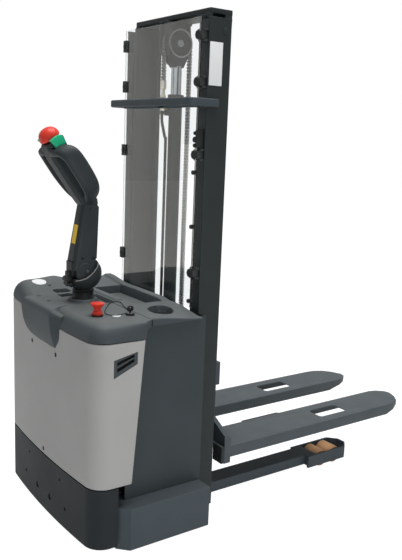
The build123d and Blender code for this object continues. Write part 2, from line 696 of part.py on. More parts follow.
# Pressed forks, open underneath, with a window over the load rollers and a cheek at the heel
fork_inner = fork_outer - fork_width
fork_middle = (fork_inner + fork_outer) / 2
for side_name, side in sides:
    with BuildPart() as fork:
        with BuildSketch(Plane.XY.offset(fork_top - fork_depth)) as blade:
            with BuildLine():
                Polyline((ahead(fork_heel), side * fork_inner), (front, side * fork_inner),
                         (front, side * fork_outer), (ahead(fork_heel), side * fork_outer), close=True)
            make_face()
            fillet(blade.vertices().sort_by(Axis.X)[-2:], radius=fork_nose)
        extrude(amount=fork_depth)
        fillet(fork.faces().sort_by(Axis.Z)[-1].edges().sort_by(Axis.X)[1:], radius=fork_round)
        with BuildSketch(Plane.XY.offset(fork_top - fork_depth)) as hollow:
            with BuildLine():
                Polyline((ahead(fork_heel), side * (fork_inner + fork_wall)),
                         (front - fork_wall, side * (fork_inner + fork_wall)),
                         (front - fork_wall, side * (fork_outer - fork_wall)),
                         (ahead(fork_heel), side * (fork_outer - fork_wall)), close=True)
            make_face()
            fillet(hollow.vertices().sort_by(Axis.X)[-2:], radius=fork_nose - fork_wall)
        extrude(amount=fork_depth - fork_skin, mode=Mode.SUBTRACT)
        with BuildSketch(Plane.XY.offset(fork_top - fork_skin)):
            with Locations((ahead((window_rear + window_front) / 2), side * fork_middle)):
                RectangleRounded(window_front - window_rear, window_width, 14)
        extrude(amount=fork_skin, mode=Mode.SUBTRACT)
        side_profile(((front - 160, fork_top - fork_depth - 1), (front + 1, fork_top - fork_depth - 1),
                      (front + 1, fork_top - 12)), span(side, fork_inner - 1, fork_outer + 1),
                      mode=Mode.SUBTRACT)
        block((ahead(fork_heel - 30), ahead(fork_heel + 1)), span(side, fork_outer - fork_wall, fork_outer),
              (cheek_low, cheek_top))
    finish(fork, f"fork_{side_name}")

# Drive gearbox: slewing flange, neck through the tower's top plate and the leg beside the wheel
with BuildPart() as drive_gearbox:
    post(steer_x, 0, 100, (tower_top - 24, tower_top - 8 - seat_gap))
    post(steer_x, 0, neck_radius, (tower_top - 24, tower_top + seat_gap))
    post(steer_x, 0, 90, (tower_top + seat_gap, tower_top + 10))
    block((steer_x - 40, steer_x + 40), (wheel_width / 2 + 4, wheel_width / 2 + 46),
          (wheel_radius, tower_top - 20))
    shaft(steer_x, wheel_radius, 40, (wheel_width / 2 + 4, wheel_width / 2 + 46))
    shaft(steer_x, wheel_radius, wheel_axle, (-wheel_width / 2 - 2, wheel_width / 2 + 10))
finish(drive_gearbox, "drive_gearbox")

# Traction motor with its brake on top
with BuildPart() as drive_motor:
    post(steer_x, 0, motor_radius, (tower_top + 10, motor_top))
    post(steer_x, 0, motor_radius - 14, (motor_top, motor_top + 40))
finish(drive_motor, "drive_motor")

# Drive wheel with rounded tread edges
with BuildPart() as drive_wheel:
    shaft(steer_x, wheel_radius, wheel_radius, (-wheel_width / 2, wheel_width / 2))
    fillet(drive_wheel.edges().filter_by(GeomType.CIRCLE), radius=6)
    for side in (-1, 1):
        shaft(steer_x, wheel_radius, wheel_radius - 25, span(side, wheel_width / 2 - 10, wheel_width / 2),
              mode=Mode.SUBTRACT)
    shaft(steer_x, wheel_radius, wheel_axle + turn_gap, (-wheel_width, wheel_width), mode=Mode.SUBTRACT)
finish(drive_wheel, "drive_wheel")

# Steering column: a yoke around the motor, a tube up through the cover and the post of the tilt pivot
yoke_reach = motor_radius + 8
yoke_low = tower_top + 10
yoke_top = motor_top + 60
pivot_x = ahead(-pivot_behind)
with BuildPart() as steering_column:
    for side in (-1, 1):
        block((steer_x - 20, steer_x + 20), span(side, yoke_reach, yoke_reach + 8), (yoke_low, yoke_top))
    block((steer_x - 20, steer_x + 20), (-yoke_reach - 8, yoke_reach + 8), (yoke_top, yoke_top + 12))
    post(steer_x, 0, column_radius, (yoke_top, column_top))
    post(steer_x, 0, column_radius - 1, (column_top, column_top + 8))
    block((pivot_x - 20, pivot_x + 20), (-post_half, post_half), (column_top, pivot_z))
    shaft(pivot_x, pivot_z, 20, (-post_half, post_half))
    shaft(pivot_x, pivot_z, pivot_pin, (-clevis_half - 2, clevis_half + 2))
finish(steering_column, "steering_column")

# Collar where the tiller leaves the cover
with BuildPart() as tiller_collar:
    with BuildSketch(Plane.XZ):
        with BuildLine():
            Polyline((steer_x + column_radius + seat_gap, collar_low),
                     (steer_x + collar_radius, collar_low),
                     (steer_x + collar_radius, collar_low + 12), (steer_x + collar_radius - 5, collar_top),
                     (steer_x + collar_radius - 9, collar_top),
                     (steer_x + collar_radius - 6, collar_low + 12),
                     (steer_x + column_radius + seat_gap, collar_low + 6), close=True)
        make_face()
    revolve(axis=Axis((steer_x, 0, 0), (0, 0, 1)))
finish(tiller_collar, "tiller_collar")

# Tiller arm: a tapered column that leans forward, on two cheeks around the pivot
arm_dir = (sin(radians(arm_lean)), 0, cos(radians(arm_lean)))
arm_plane = Plane((pivot_x, 0, pivot_z), x_dir=(cos(radians(arm_lean)), 0, -sin(radians(arm_lean))),
                  z_dir=arm_dir)
with BuildPart() as tiller_arm:
    with BuildSketch(arm_plane.offset(knuckle_radius - 2)):
        RectangleRounded(72, 74, 14)
    with BuildSketch(arm_plane.offset(arm_length)):
        RectangleRounded(50, 62, 14)
    loft()
    for side in (-1, 1):
        with BuildSketch(arm_plane.offset(24)):
            with Locations((0, side * (clevis_half + post_half + 1) / 2)):
                Rectangle(34, clevis_half - post_half - 1)
        extrude(amount=knuckle_radius - 20)
        shaft(pivot_x, pivot_z, 26, span(side, post_half + 1, clevis_half))
    shaft(pivot_x, pivot_z, pivot_pin + turn_gap, (-clevis_half, clevis_half), mode=Mode.SUBTRACT)
finish(tiller_arm, "tiller_arm")

# Knuckle cover: round shells over the pivot on both sides
with BuildPart() as knuckle_cover:
    for side in (-1, 1):
        shaft(pivot_x, pivot_z, knuckle_radius, span(side, clevis_half + seat_gap, clevis_half + 9))
        shaft(pivot_x, pivot_z, pivot_pin + 4, span(side, clevis_half, clevis_half + 4), mode=Mode.SUBTRACT)
finish(knuckle_cover, "knuckle_cover")

# Tiller head: a central grip body between two closed hand loops, leaning back to the operator
head_x = pivot_x + arm_length * arm_dir[0]
head_z = pivot_z + arm_length * arm_dir[2]
head_along = (-sin(radians(head_lean)), 0, cos(radians(head_lean)))
head_normal = (cos(radians(head_lean)), 0, sin(radians(head_lean)))
head_plane = Plane((head_x, 0, head_z), x_dir=(0, 1, 0), z_dir=head_normal)


def on_head(along, out):
    """X and Z of a point on the tiller head's middle plane."""
    return (head_x + along * head_along[0] + out * head_normal[0],
            head_z + along * head_along[2] + out * head_normal[2])


loop_outer = ((36, 4), (74, 40), (110, 112), (loop_half, 180), (118, 224), (92, 250), (30, 250))
loop_inner = ((44, 62), (64, 70), (86, 120), (loop_half - 26, 176), (94, 202), (44, 202))
with BuildPart() as tiller_head:
    with BuildSketch(head_plane.offset(-head_thick / 2)):
        with Locations((0, head_length / 2 + 1)):
            RectangleRounded(2 * head_half, head_length - 2, 12)
    extrude(amount=head_thick)
    with BuildSketch(head_plane.offset(-loop_thick / 2)) as loops:
        for side in (-1, 1):
            with BuildLine():
                FilletPolyline(*((side * y, u) for y, u in loop_outer), radius=12)
                Polyline((side * 30, 250), (0, 250), (0, 4), (side * 36, 4))
            make_face()
            with BuildLine():
                FilletPolyline(*((side * y, u) for y, u in loop_inner), radius=10, close=True)
            make_face(mode=Mode.SUBTRACT)
    extrude(amount=loop_thick)
    with BuildSketch(head_plane):
        with Locations((0, head_length - 30)):
            Rectangle(2 * head_half, 60)
    extrude(amount=head_thick)
    add(tiller_arm.part, mode=Mode.SUBTRACT)
    for side in (-1, 1):
        shaft(*on_head(butterfly_u, butterfly_v), butterfly_radius + 1, span(side, head_half, wing_outer + 2),
              mode=Mode.SUBTRACT)
    with BuildSketch(head_plane.offset(head_thick / 2 - 8)):
        with Locations((0, rocker_u)):
            RectangleRounded(34 + 2 * slide_gap, 50, 6)
    extrude(amount=loop_thick / 2 - head_thick / 2 + 9, mode=Mode.SUBTRACT)
    shaft(*on_head(butterfly_u, butterfly_v), 7 + turn_gap, (-head_half - 1, head_half + 1),
          mode=Mode.SUBTRACT)
    shaft(*on_head(rocker_u, head_thick / 2 - 4), rocker_pin + turn_gap, (-21.5, 21.5), mode=Mode.SUBTRACT)
    button_seat = Plane(head_plane.from_local_coords((0, head_length - 26, stem_v)), x_dir=(0, 1, 0),
                        z_dir=head_along)
    with BuildSketch(button_seat):
        Rectangle(30 + 2 * slide_gap, 20 + 2 * slide_gap)
    extrude(amount=30, mode=Mode.SUBTRACT)
finish(tiller_head, "tiller_head")

# Belly button at the end of the head, on a square stem
with BuildPart() as belly_button:
    with BuildSketch(button_seat.offset(34)):
        with Locations((0, stem_v - cap_v)):
            RectangleRounded(2 * button_half, head_thick + 30, 30)
    extrude(amount=button_length)
    with BuildSketch(button_seat.offset(12)):
        Rectangle(30, 20)
    extrude(amount=22)
    fillet(belly_button.faces().sort_by(Axis(button_seat.origin, button_seat.z_dir))[-1].edges(), radius=24)
finish(belly_button, "belly_button")

# Throttle butterfly: two round wings on one shaft through the head
butterfly_x, butterfly_z = on_head(butterfly_u, butterfly_v)
with BuildPart() as throttle_butterfly:
    shaft(butterfly_x, butterfly_z, 7, (-wing_inner - 3, wing_inner + 3))
    for side in (-1, 1):
        shaft(butterfly_x, butterfly_z, butterfly_radius, span(side, wing_inner, wing_outer))
finish(throttle_butterfly, "throttle_butterfly")

# Lift and lower rocker in the head's top face
with BuildPart() as lift_rocker:
    with BuildSketch(head_plane.offset(head_thick / 2 - 4)):
        with Locations((0, rocker_u)):
            RectangleRounded(34, 46, 5)
    extrude(amount=loop_thick / 2 - head_thick / 2 + 7)
    shaft(*on_head(rocker_u, head_thick / 2 - 4), rocker_pin, (-21, 21))
finish(lift_rocker, "lift_rocker")

# Fixed bases of the emergency stop and the key switch, on the cover
stop_x = ahead(-415)
stop_y = -250.0
key_x = ahead(-300)
key_y = -289.0
with BuildPart() as console_fittings:
    post(stop_x, stop_y, 21, (console_top, console_top + 11))
    post(stop_x, stop_y, 9 + turn_gap, (console_top, console_top + 11), mode=Mode.SUBTRACT)
    post(key_x, key_y, 14, (console_top, console_top + 8))
    post(key_x, key_y, 4 + turn_gap, (console_top + 2, console_top + 8), mode=Mode.SUBTRACT)
finish(console_fittings, "console_fittings")

# Emergency stop: a mushroom on its stem
with BuildPart() as e_stop_button:
    post(stop_x, stop_y, 9, (console_top + 8, console_top + 24))
    post(stop_x, stop_y, 26, (console_top + 20, console_top + 42))
    fillet(e_stop_button.edges().filter_by(GeomType.CIRCLE).group_by(Axis.Z)[-1], radius=8)
finish(e_stop_button, "e_stop_button")

# Key in its switch
with BuildPart() as ignition_key:
    post(key_x, key_y, 4, (console_top + 3, console_top + 12))
    block((key_x - 12, key_x + 12), (key_y - 2, key_y + 2), (console_top + 10, console_top + 32))
    shaft(key_x, console_top + 25, 3.5, (key_y - 3, key_y + 3), mode=Mode.SUBTRACT)
finish(ignition_key, "ignition_key")

# Casters: a swivel fork under the box and its wheel
for side_name, side in sides:
    swivel_x = ahead(-caster_x)
    swivel_y = side * caster_y
    axle_x = swivel_x - caster_trail
    leg_reach = caster_width / 2 + 3
    crown_top = box_top - box_wall - seat_gap
    with BuildPart() as caster_fork:
        post(swivel_x, swivel_y, 34, (crown_top - 14, crown_top))
        post(swivel_x, swivel_y, caster_stem, (crown_top - 14, box_top))
        for cheek in (-1, 1):
            low_y = swivel_y + min(cheek * leg_reach, cheek * (leg_reach + 5))
            side_profile(((swivel_x + 24, crown_top - 14), (swivel_x + 24, crown_top - 6),
                          (swivel_x - 34, crown_top - 6), (axle_x - 18, caster_radius),
                          (axle_x, caster_radius - 18), (axle_x + 18, caster_radius)), (low_y, low_y + 5))
        block((swivel_x - 28, swivel_x + 24), (swivel_y - leg_reach - 5, swivel_y + leg_reach + 5),
              (crown_top - 14, crown_top - 6))
        shaft(axle_x, caster_radius, 8, (swivel_y - leg_reach - 8, swivel_y + leg_reach + 8))
    finish(caster_fork, f"caster_fork_{side_name}")
    with BuildPart() as caster_wheel:
        shaft(axle_x, caster_radius, caster_radius,
              (swivel_y - caster_width / 2, swivel_y + caster_width / 2))
        fillet(caster_wheel.edges().filter_by(GeomType.CIRCLE), radius=5)
        shaft(axle_x, caster_radius, 8 + turn_gap, (swivel_y - caster_width, swivel_y + caster_width),
              mode=Mode.SUBTRACT)
    finish(caster_wheel, f"caster_wheel_{side_name}")

# Key lanyard: a limp cord loop that lies on the cover and comes back to the key
cord_radius = 1.5
cord_level = console_top + cord_radius + 0.4
lanyard = [(-281, -279, console_top + 22), (-280, -260, console_top + 14), (-276, -234, cord_level + 2),
           (-266, -192, cord_level), (-252, -150, cord_level), (-238, -112, cord_level),
           (-234, -86, cord_level), (-250, -76, cord_level), (-276, -88, cord_level),
           (-306, -124, cord_level), (-340, -172, cord_level), (-372, -222, cord_level),
           (-378, -256, cord_level), (-362, -276, cord_level), (-338, -290, cord_level + 3),
           (-321, -296, cord_level + 9)]
lanyard = [(ahead(x), y, z) for x, y, z in lanyard]


def bend_radii(points):
    """Bend radius at each inner point of a cord, from its two runs and its turn."""
    radii = []
    for before, here, after in zip(points, points[1:], points[2:]):
        first = Vector(here) - Vector(before)
        second = Vector(after) - Vector(here)
        turn = radians(first.get_angle(second))
        radii.append(0.45 * min(first.length, second.length) / tan(turn / 2))
    return radii


lanyard_radii = bend_radii(lanyard)
print("lanyard radii", [round(radius, 1) for radius in lanyard_radii])
with BuildPart() as key_lanyard:
    with BuildLine() as lanyard_run:
        FilletPolyline(*lanyard, radius=lanyard_radii)
    first_run = Vector(lanyard[1]) - Vector(lanyard[0])
    with BuildSketch(Plane(lanyard[0], z_dir=first_run)):
        Circle(cord_radius)
    sweep()
finish(key_lanyard, "key_lanyard")
print("lanyard length", round(lanyard_run.wires()[0].length, 1))
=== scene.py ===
import json
from math import cos, hypot, pi, radians, sin

import bpy
from mathutils import Matrix, Vector


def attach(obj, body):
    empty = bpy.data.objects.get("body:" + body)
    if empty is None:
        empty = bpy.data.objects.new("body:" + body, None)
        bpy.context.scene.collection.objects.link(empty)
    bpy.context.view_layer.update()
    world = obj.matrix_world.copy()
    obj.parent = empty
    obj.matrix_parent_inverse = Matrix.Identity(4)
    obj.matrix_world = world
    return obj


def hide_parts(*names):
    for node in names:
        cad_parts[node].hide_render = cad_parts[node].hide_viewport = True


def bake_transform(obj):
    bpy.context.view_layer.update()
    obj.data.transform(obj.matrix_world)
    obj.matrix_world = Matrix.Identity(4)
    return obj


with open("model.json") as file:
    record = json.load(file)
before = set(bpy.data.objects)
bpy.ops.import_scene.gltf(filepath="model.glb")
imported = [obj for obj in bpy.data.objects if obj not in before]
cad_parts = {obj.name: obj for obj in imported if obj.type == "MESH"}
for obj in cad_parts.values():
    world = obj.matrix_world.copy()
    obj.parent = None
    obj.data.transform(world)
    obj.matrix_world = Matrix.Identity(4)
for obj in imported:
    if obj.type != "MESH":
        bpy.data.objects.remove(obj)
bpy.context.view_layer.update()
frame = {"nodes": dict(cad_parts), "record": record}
nodes = frame["nodes"]

# The rear face of the mast, from which the truck's lengths are measured
mast_rear = -0.4045


def at(ahead, left, up):
    """Point in the frame from millimetres ahead of the mast's rear face, left of the middle and up."""
    return (mast_rear + ahead / 1000, left / 1000, up / 1000)


upward, rearward, leftward = (0, 0, 1), (-1, 0, 0), (0, 1, 0)

# Camera at the photograph's place, a little rolled
heading, pitch, roll = 0.9517, -0.1919, 0.0400
look = Vector((cos(heading) * cos(pitch), sin(heading) * cos(pitch), sin(pitch)))
level = Vector((sin(heading), -cos(heading), 0))
upright = level.cross(look)
right = level * cos(roll) + upright * sin(roll)
above = upright * cos(roll) - level * sin(roll)
bpy.ops.object.camera_add()
camera = bpy.context.object
camera.name = "studio_camera"
camera.data.lens = 46.478
camera.data.sensor_width = 36
camera.data.clip_end = 60
camera_place = (-2.0027, -2.5531, 1.5317)
camera_turn = Matrix((right, above, -look)).transposed().to_4x4()
camera.matrix_world = Matrix.Translation(camera_place) @ camera_turn
bpy.context.scene.camera = camera
bpy.context.scene.view_settings.view_transform = "Standard"


def linear(colour):
    """Linear colour from an sRGB hex value."""
    parts = [int(colour[i:i + 2], 16) / 255 for i in (1, 3, 5)]
    return tuple(p / 12.92 if p <= 0.04045 else ((p + 0.055) / 1.055) ** 2.4 for p in parts) + (1,)


def per_metre(size):
    """Scale of a pattern whose marks are so many millimetres across."""
    return 1000 / size


def put(tree, kind, sockets=None, **settings):
    """One shader node with its settings, values and links."""
    made = tree.nodes.new("ShaderNode" + kind)
    for name, value in settings.items():
        setattr(made, name, value)
    for name, value in (sockets or {}).items():
        if isinstance(value, bpy.types.NodeSocket):
            tree.links.new(value, made.inputs[name])
        else:
            made.inputs[name].default_value = value
    return made


def new_finish(name):
    """Empty material with its shader and its object coordinates."""
    finish = bpy.data.materials.new(name)
    finish.use_nodes = True
    tree = finish.node_tree
    shader = tree.nodes["Principled BSDF"]
    where = put(tree, "TexCoord").outputs["Object"]
    return finish, tree, shader, where


def cloudy(tree, where, size, detail):
    """Noise whose clouds are so many millimetres across."""
    return put(tree, "TexNoise", {"Vector": where, "Scale": per_metre(size), "Detail": detail})


def ranged(tree, marks, low, high):
    """Value that follows a noise from low to high."""
    return put(tree, "MapRange", {"Value": marks.outputs["Fac"], 3: low, 4: high})


def mixed(tree, share, one, two):
    """Two colours mixed by a share."""
    return put(tree, "Mix", {0: share, 6: one, 7: two}, data_type="RGBA")


def toned(tree, marks, face, shade):
    """Tone that follows a noise from one colour to another."""
    return mixed(tree, marks.outputs["Fac"], linear(face), linear(shade))


def dusted_and_top_lit(tree, tone, start, depth):
    """Tone under a pale, dusty film on what faces up more than a start; where the film is deep it is painted top
    light.
    """
    facing = put(tree, "SeparateXYZ", {0: put(tree, "NewGeometry").outputs["Normal"]})
    film = put(tree, "MapRange", {"Value": facing.outputs[2], 1: start, 2: 1.0, 3: 0.0, 4: depth})
    return mixed(tree, film.outputs[0], tone.outputs[2], linear("#8d8f8d"))


def surface(tree, shader, tone, gloss, bump, values):
    """Lead tone, gloss and relief into the shader, and set its other values."""
    tree.links.new(tone.outputs[2], shader.inputs["Base Color"])
    tree.links.new(gloss.outputs[0], shader.inputs["Roughness"])
    tree.links.new(bump.outputs[0], shader.inputs["Normal"])
    for name, value in values.items():
        shader.inputs[name].default_value = value


coat_values = {"IOR": 1.5, "Specular IOR Level": 0.18}


def moulded_plastic(name, face, shade, grain, relief, rough, dust_and_top_light=0.0):
    """Injection moulding: a fine etched grain, a tone uneven from the flow, and a pale dusty film on top that
    also paints top light.
    """
    finish, tree, shader, where = new_finish(name)
    flow = cloudy(tree, where, 170, 3.0)
    tone = dusted_and_top_lit(tree, toned(tree, flow, face, shade), 0.7, dust_and_top_light)
    etch = put(tree, "TexVoronoi", {"Vector": where, "Scale": per_metre(grain)}, feature="SMOOTH_F1")
    bump = put(tree, "Bump", {"Height": etch.outputs["Distance"], "Strength": 0.35, "Distance": relief / 1000})
    surface(tree, shader, tone, ranged(tree, flow, rough - 0.06, rough + 0.06), bump, coat_values)
    return finish


def painted_steel(name, face, shade, rough):
    """Powder coat on steel: a fine orange peel in the gloss, and a thin pale film on what faces up, dusty and
    painted top light in one.
    """
    finish, tree, shader, where = new_finish(name)
    cloud = cloudy(tree, where, 90, 4.0)
    tone = dusted_and_top_lit(tree, toned(tree, cloud, face, shade), 0.6, 0.06)
    peel = cloudy(tree, where, 3, 1.0)
    bump = put(tree, "Bump", {"Height": peel.outputs["Fac"], "Strength": 0.25, "Distance": 0.0004})
    surface(tree, shader, tone, ranged(tree, cloud, rough - 0.07, rough + 0.07), bump, coat_values)
    return finish


def worked_metal(name, face, shade, grain, rough, along):
    """Bare metal: tool marks drawn out along the way it was worked break up the reflection."""
    finish, tree, shader, where = new_finish(name)
    drawn = put(tree, "Mapping", {"Vector": where, "Scale": along})
    marks = cloudy(tree, drawn.outputs[0], grain, 3.0)
    bump = put(tree, "Bump", {"Height": marks.outputs["Fac"], "Strength": 0.15, "Distance": 0.0002})
    surface(tree, shader, toned(tree, marks, face, shade), ranged(tree, marks, rough - 0.08, rough + 0.1), bump,
            {"Metallic": 1.0})
    return finish


def clear_sheet():
    """Extruded polycarbonate: clear, a trace of grey, with a hard gloss on both faces."""
    finish, tree, shader, where = new_finish("clear_polycarbonate")
    shader.inputs["Base Color"].default_value = linear("#f4f7f7")
    shader.inputs["Transmission Weight"].default_value = 1.0
    shader.inputs["Specular Tint"].default_value = linear("#fbf4e6")
    shader.inputs["IOR"].default_value = 1.5
    rub = ranged(tree, cloudy(tree, where, 200, 2.0), 0.0, 0.03)
    tree.links.new(rub.outputs[0], shader.inputs["Roughness"])
    lets_light_by = put(tree, "BsdfTransparent", {"Color": linear("#eef2f2")})
    ray = put(tree, "LightPath")
    mix = put(tree, "MixShader", {0: ray.outputs["Is Shadow Ray"], 1: shader.outputs[0],
                                  2: lets_light_by.outputs[0]})
    tree.links.new(mix.outputs[0], tree.nodes["Material Output"].inputs["Surface"])
    return finish


# The finish of each slot: coated steel, moulded plastic, bare and plated metal, rubber and polyurethane
slot_finish = {
    "dark_frame_paint": painted_steel("powder_coated_steel", "#3e464b", "#353d42", 0.5),
    "fork_paint": painted_steel("fork_enamel", "#474e52", "#3d4448", 0.48),
    "motor_paint": painted_steel("motor_enamel", "#2b2d2f", "#232527", 0.4),
    "grey_cover": moulded_plastic("moulded_grey_abs", "#979796", "#90908f", 1.6, 0.12, 0.55),
    # The slate's deep pale film on what faces up is painted top light that lightens its flat
    "dark_plastic": moulded_plastic("moulded_slate_abs", "#3a4144", "#343a3d", 2.2, 0.2, 0.55, 0.23),
    "tiller_plastic": moulded_plastic("tiller_nylon", "#2b3133", "#23282a", 1.8, 0.15, 0.5),
    "black_plastic": moulded_plastic("black_nylon", "#1a1c1d", "#121314", 1.2, 0.1, 0.45),
    "red_plastic": moulded_plastic("red_abs", "#c83a2c", "#ba3024", 1.4, 0.05, 0.32),
    "green_plastic": moulded_plastic("green_abs", "#1fa97a", "#189269", 1.4, 0.05, 0.35),
    "clear_sheet": clear_sheet(),
    "bare_steel": worked_metal("turned_steel", "#9a9da0", "#85888b", 1.5, 0.32, (1, 14, 1)),
    "rod_chrome": worked_metal("hard_chrome", "#b9bcbe", "#a9acaf", 2.0, 0.2, (1, 1, 9)),
    "cast_iron": worked_metal("cast_iron", "#5a5d5f", "#484b4d", 2.5, 0.55, (1, 1, 1)),
    "fin_aluminium": worked_metal("cast_aluminium", "#b0b3b5", "#9a9d9f", 2.0, 0.4, (1, 1, 1)),
    "zinc_yellow": worked_metal("yellow_zinc", "#c9a94e", "#b08c3c", 3.0, 0.34, (1, 1, 1)),
    "hose_rubber": moulded_plastic("extruded_rubber", "#1b1c1d", "#131415", 1.0, 0.06, 0.6),
    "wheel_tread": moulded_plastic("tread_rubber", "#3b3b39", "#2f2f2e", 2.0, 0.1, 0.65),
    "roller_polyurethane": moulded_plastic("cast_polyurethane", "#b8916c", "#a67e58", 3.0, 0.05, 0.42),
    "cord_fabric": moulded_plastic("braided_nylon", "#191a1c", "#101112", 1.0, 0.1, 0.7),
}
black_nylon, cover_grey = slot_finish["black_plastic"], slot_finish["grey_cover"]
bare_steel, cast_iron = slot_finish["bare_steel"], slot_finish["cast_iron"]
# Pieces that differ from their slot: the mast, the skirt and the panels in darker copies of the frame paint,
# painted shade where less light falls, and the small fittings
shaded_mast_coat = painted_steel("mast_frame_paint_shaded", "#282e2e", "#222727", 0.5)
shaded_skirt_black = moulded_plastic("skirt_painted_shade", "#1c2225", "#171d20", 2.0, 0.15, 0.6)
shaded_panel_slate = moulded_plastic("panel_sheet_painted_shade", "#333a3d", "#2d3336", 2.2, 0.15, 0.55)
plate_yellow = moulded_plastic("blank_plate_film", "#e0b92c", "#d2aa22", 2.0, 0.02, 0.4)
badge_white = moulded_plastic("blank_badge_acrylic", "#d9dbdb", "#cfd2d2", 2.0, 0.02, 0.3)
clip_nylon = moulded_plastic("clip_nylon", "#353a39", "#2b302f", 1.2, 0.1, 0.5)
knob_nylon = moulded_plastic("knob_nylon", "#232726", "#1a1d1c", 1.2, 0.1, 0.42)
hub_brown = moulded_plastic("roller_hub_nylon", "#5e3527", "#4c2a1f", 2.0, 0.05, 0.5)
chain_steel = worked_metal("oiled_chain_steel", "#8b8e8c", "#4b4d4c", 3.0, 0.5, (1, 1, 1))
pale_zinc = worked_metal("pale_zinc", "#e0d9c9", "#cfc7b5", 3.0, 0.42, (1, 1, 1))

for row in frame["record"]["subparts"]:
    piece = nodes[row["node"]]
    piece.data.materials.clear()
    piece.data.materials.append(slot_finish[row["material_slot"]])

# The mast's parts take the darker copy of the frame paint: painted shade
for name in ("outer_mast_left", "outer_mast_right", "mast_foot", "guard_bar", "inner_mast"):
    nodes[name].data.materials[0] = shaded_mast_coat
# The side panels take a darker slate: painted shade
for name in ("side_panel_left", "side_panel_right"):
    nodes[name].data.materials[0] = shaded_panel_slate
# The rear skirt takes a near black: painted shade on its rear-facing sheet
nodes["rear_skirt"].data.materials[0] = shaded_skirt_black

# Key lanyard: a limp braided loop from the key, over the cover and back to it
lanyard_route = [(-281, -279, 907), (-280, -260, 899), (-276, -234, 888.9), (-266, -192, 886.9),
                 (-252, -150, 886.9), (-238, -112, 886.9), (-234, -86, 886.9), (-250, -76, 886.9),
                 (-276, -88, 886.9), (-306, -124, 886.9), (-340, -172, 886.9), (-372, -222, 886.9),
                 (-378, -256, 886.9), (-362, -276, 886.9), (-338, -290, 889.9), (-321, -296, 895.9)]
lanyard_line = bpy.data.curves.new("key_lanyard_braid", "CURVE")
lanyard_line.dimensions = "3D"
lanyard_line.bevel_depth = 0.0015
lanyard_line.bevel_resolution = 3
lanyard_line.use_fill_caps = True
lanyard_line.resolution_u = 8
strand = lanyard_line.splines.new("NURBS")
strand.points.add(len(lanyard_route) - 1)
for knot, place in zip(strand.points, lanyard_route):
    knot.co = at(*place) + (1,)
strand.order_u = 3
strand.use_endpoint_u = True
lanyard = bpy.data.objects.new("key_lanyard_braid", lanyard_line)
bpy.context.collection.objects.link(lanyard)
lanyard.data.materials.append(slot_finish["cord_fabric"])
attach(lanyard, "chassis")
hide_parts("key_lanyard")


def clear_selection():
    """Object mode with nothing selected."""
    if bpy.context.object and bpy.context.object.mode != "OBJECT":
        bpy.ops.object.mode_set(mode="OBJECT")
    bpy.ops.object.select_all(action="DESELECT")


def pick(piece):
    """Select one piece alone."""
    clear_selection()
    piece.select_set(True)
    bpy.context.view_layer.objects.active = piece


def settle(name):
    """Name the new piece and put its place into its mesh."""
    made = bpy.context.object
    made.name = made.data.name = name
    bpy.ops.object.transform_apply(location=True, rotation=True, scale=True)
    return made


def faced(piece, filled=False):
    """Merge doubled corners, fill open ends where asked and turn the faces outwards."""
    pick(piece)
    bpy.ops.object.mode_set(mode="EDIT")
    bpy.ops.mesh.select_all(action="SELECT")
    bpy.ops.mesh.remove_doubles(threshold=0.00002)
    if filled:
        bpy.ops.mesh.fill_holes(sides=0)
    bpy.ops.mesh.normals_make_consistent(inside=False)
    bpy.ops.object.mode_set(mode="OBJECT")
    return piece


def laid(name, rows, shut=True):
    """Grid laid over rows of points, joined into a ring unless it is left open."""
    rows = [list(row) + ([row[0]] if shut else []) for row in rows]
    bpy.ops.mesh.primitive_grid_add(x_subdivisions=len(rows[0]) - 1, y_subdivisions=len(rows) - 1, size=1)
    made = settle(name)
    for corner, place in zip(made.data.vertices, (spot for row in rows for spot in row)):
        corner.co = at(*place)
    return made


def skin(name, rows):
    """Closed skin laid over rings of points, with its ends filled."""
    return faced(laid(name, rows), True)


def block(name, ahead, left, up):
    """Box between two planes each way."""
    spans = (ahead, left, up)
    bpy.ops.mesh.primitive_cube_add(size=1, location=at(*((low + high) / 2 for low, high in spans)),
                                    scale=tuple((high - low) / 1000 for low, high in spans))
    return settle(name)


def rod(name, start, end, radius, sides=32):
    """Round bar between two points."""
    start, end = Vector(at(*start)), Vector(at(*end))
    bpy.ops.mesh.primitive_cylinder_add(vertices=sides, radius=radius / 1000, depth=(end - start).length,
                                        location=(start + end) / 2,
                                        rotation=(end - start).to_track_quat("Z", "Y").to_euler())
    return settle(name)


def prism(name, points, run):
    """Flat outline pushed along a run."""
    bpy.ops.mesh.primitive_circle_add(vertices=len(points), fill_type="NGON")
    made = settle(name)
    for corner, place in zip(made.data.vertices, points):
        corner.co = at(*place)
    bpy.ops.object.mode_set(mode="EDIT")
    bpy.ops.mesh.select_all(action="SELECT")
    bpy.ops.mesh.extrude_region_move(TRANSFORM_OT_translate={"value": [part / 1000 for part in run]})
    bpy.ops.object.mode_set(mode="OBJECT")
    return faced(made, True)


def side_plate(name, outline, left, thick):
    """Plate from its outline seen from the side, so far left and so thick."""
    return prism(name, [(ahead, left, up) for ahead, up in outline], (0, thick, 0))


def plan_plate(name, outline, side, up, thick):
    """Plate from its outline seen from above, on one side, at a height and so thick."""
    return prism(name, [(ahead, side * left, up) for ahead, left in outline], (0, 0, thick))


def turned(name, foot, way, profile, sides=48):
    """Turned piece from rings of radius and height along a way."""
    way = Vector(way).normalized()
    side = way.orthogonal().normalized()
    other = way.cross(side)
    rows = []
    for radius, height in profile:
        middle = Vector(foot) + way * height
        rows.append([tuple(middle + (side * cos(turn) + other * sin(turn)) * radius)
                     for turn in all_turns(sides)])
    return skin(name, rows)


def mirrored(*half):
    """Profile of a turned piece that is alike at both ends, from one half of it."""
    return half + tuple((radius, -height) for radius, height in half[::-1])


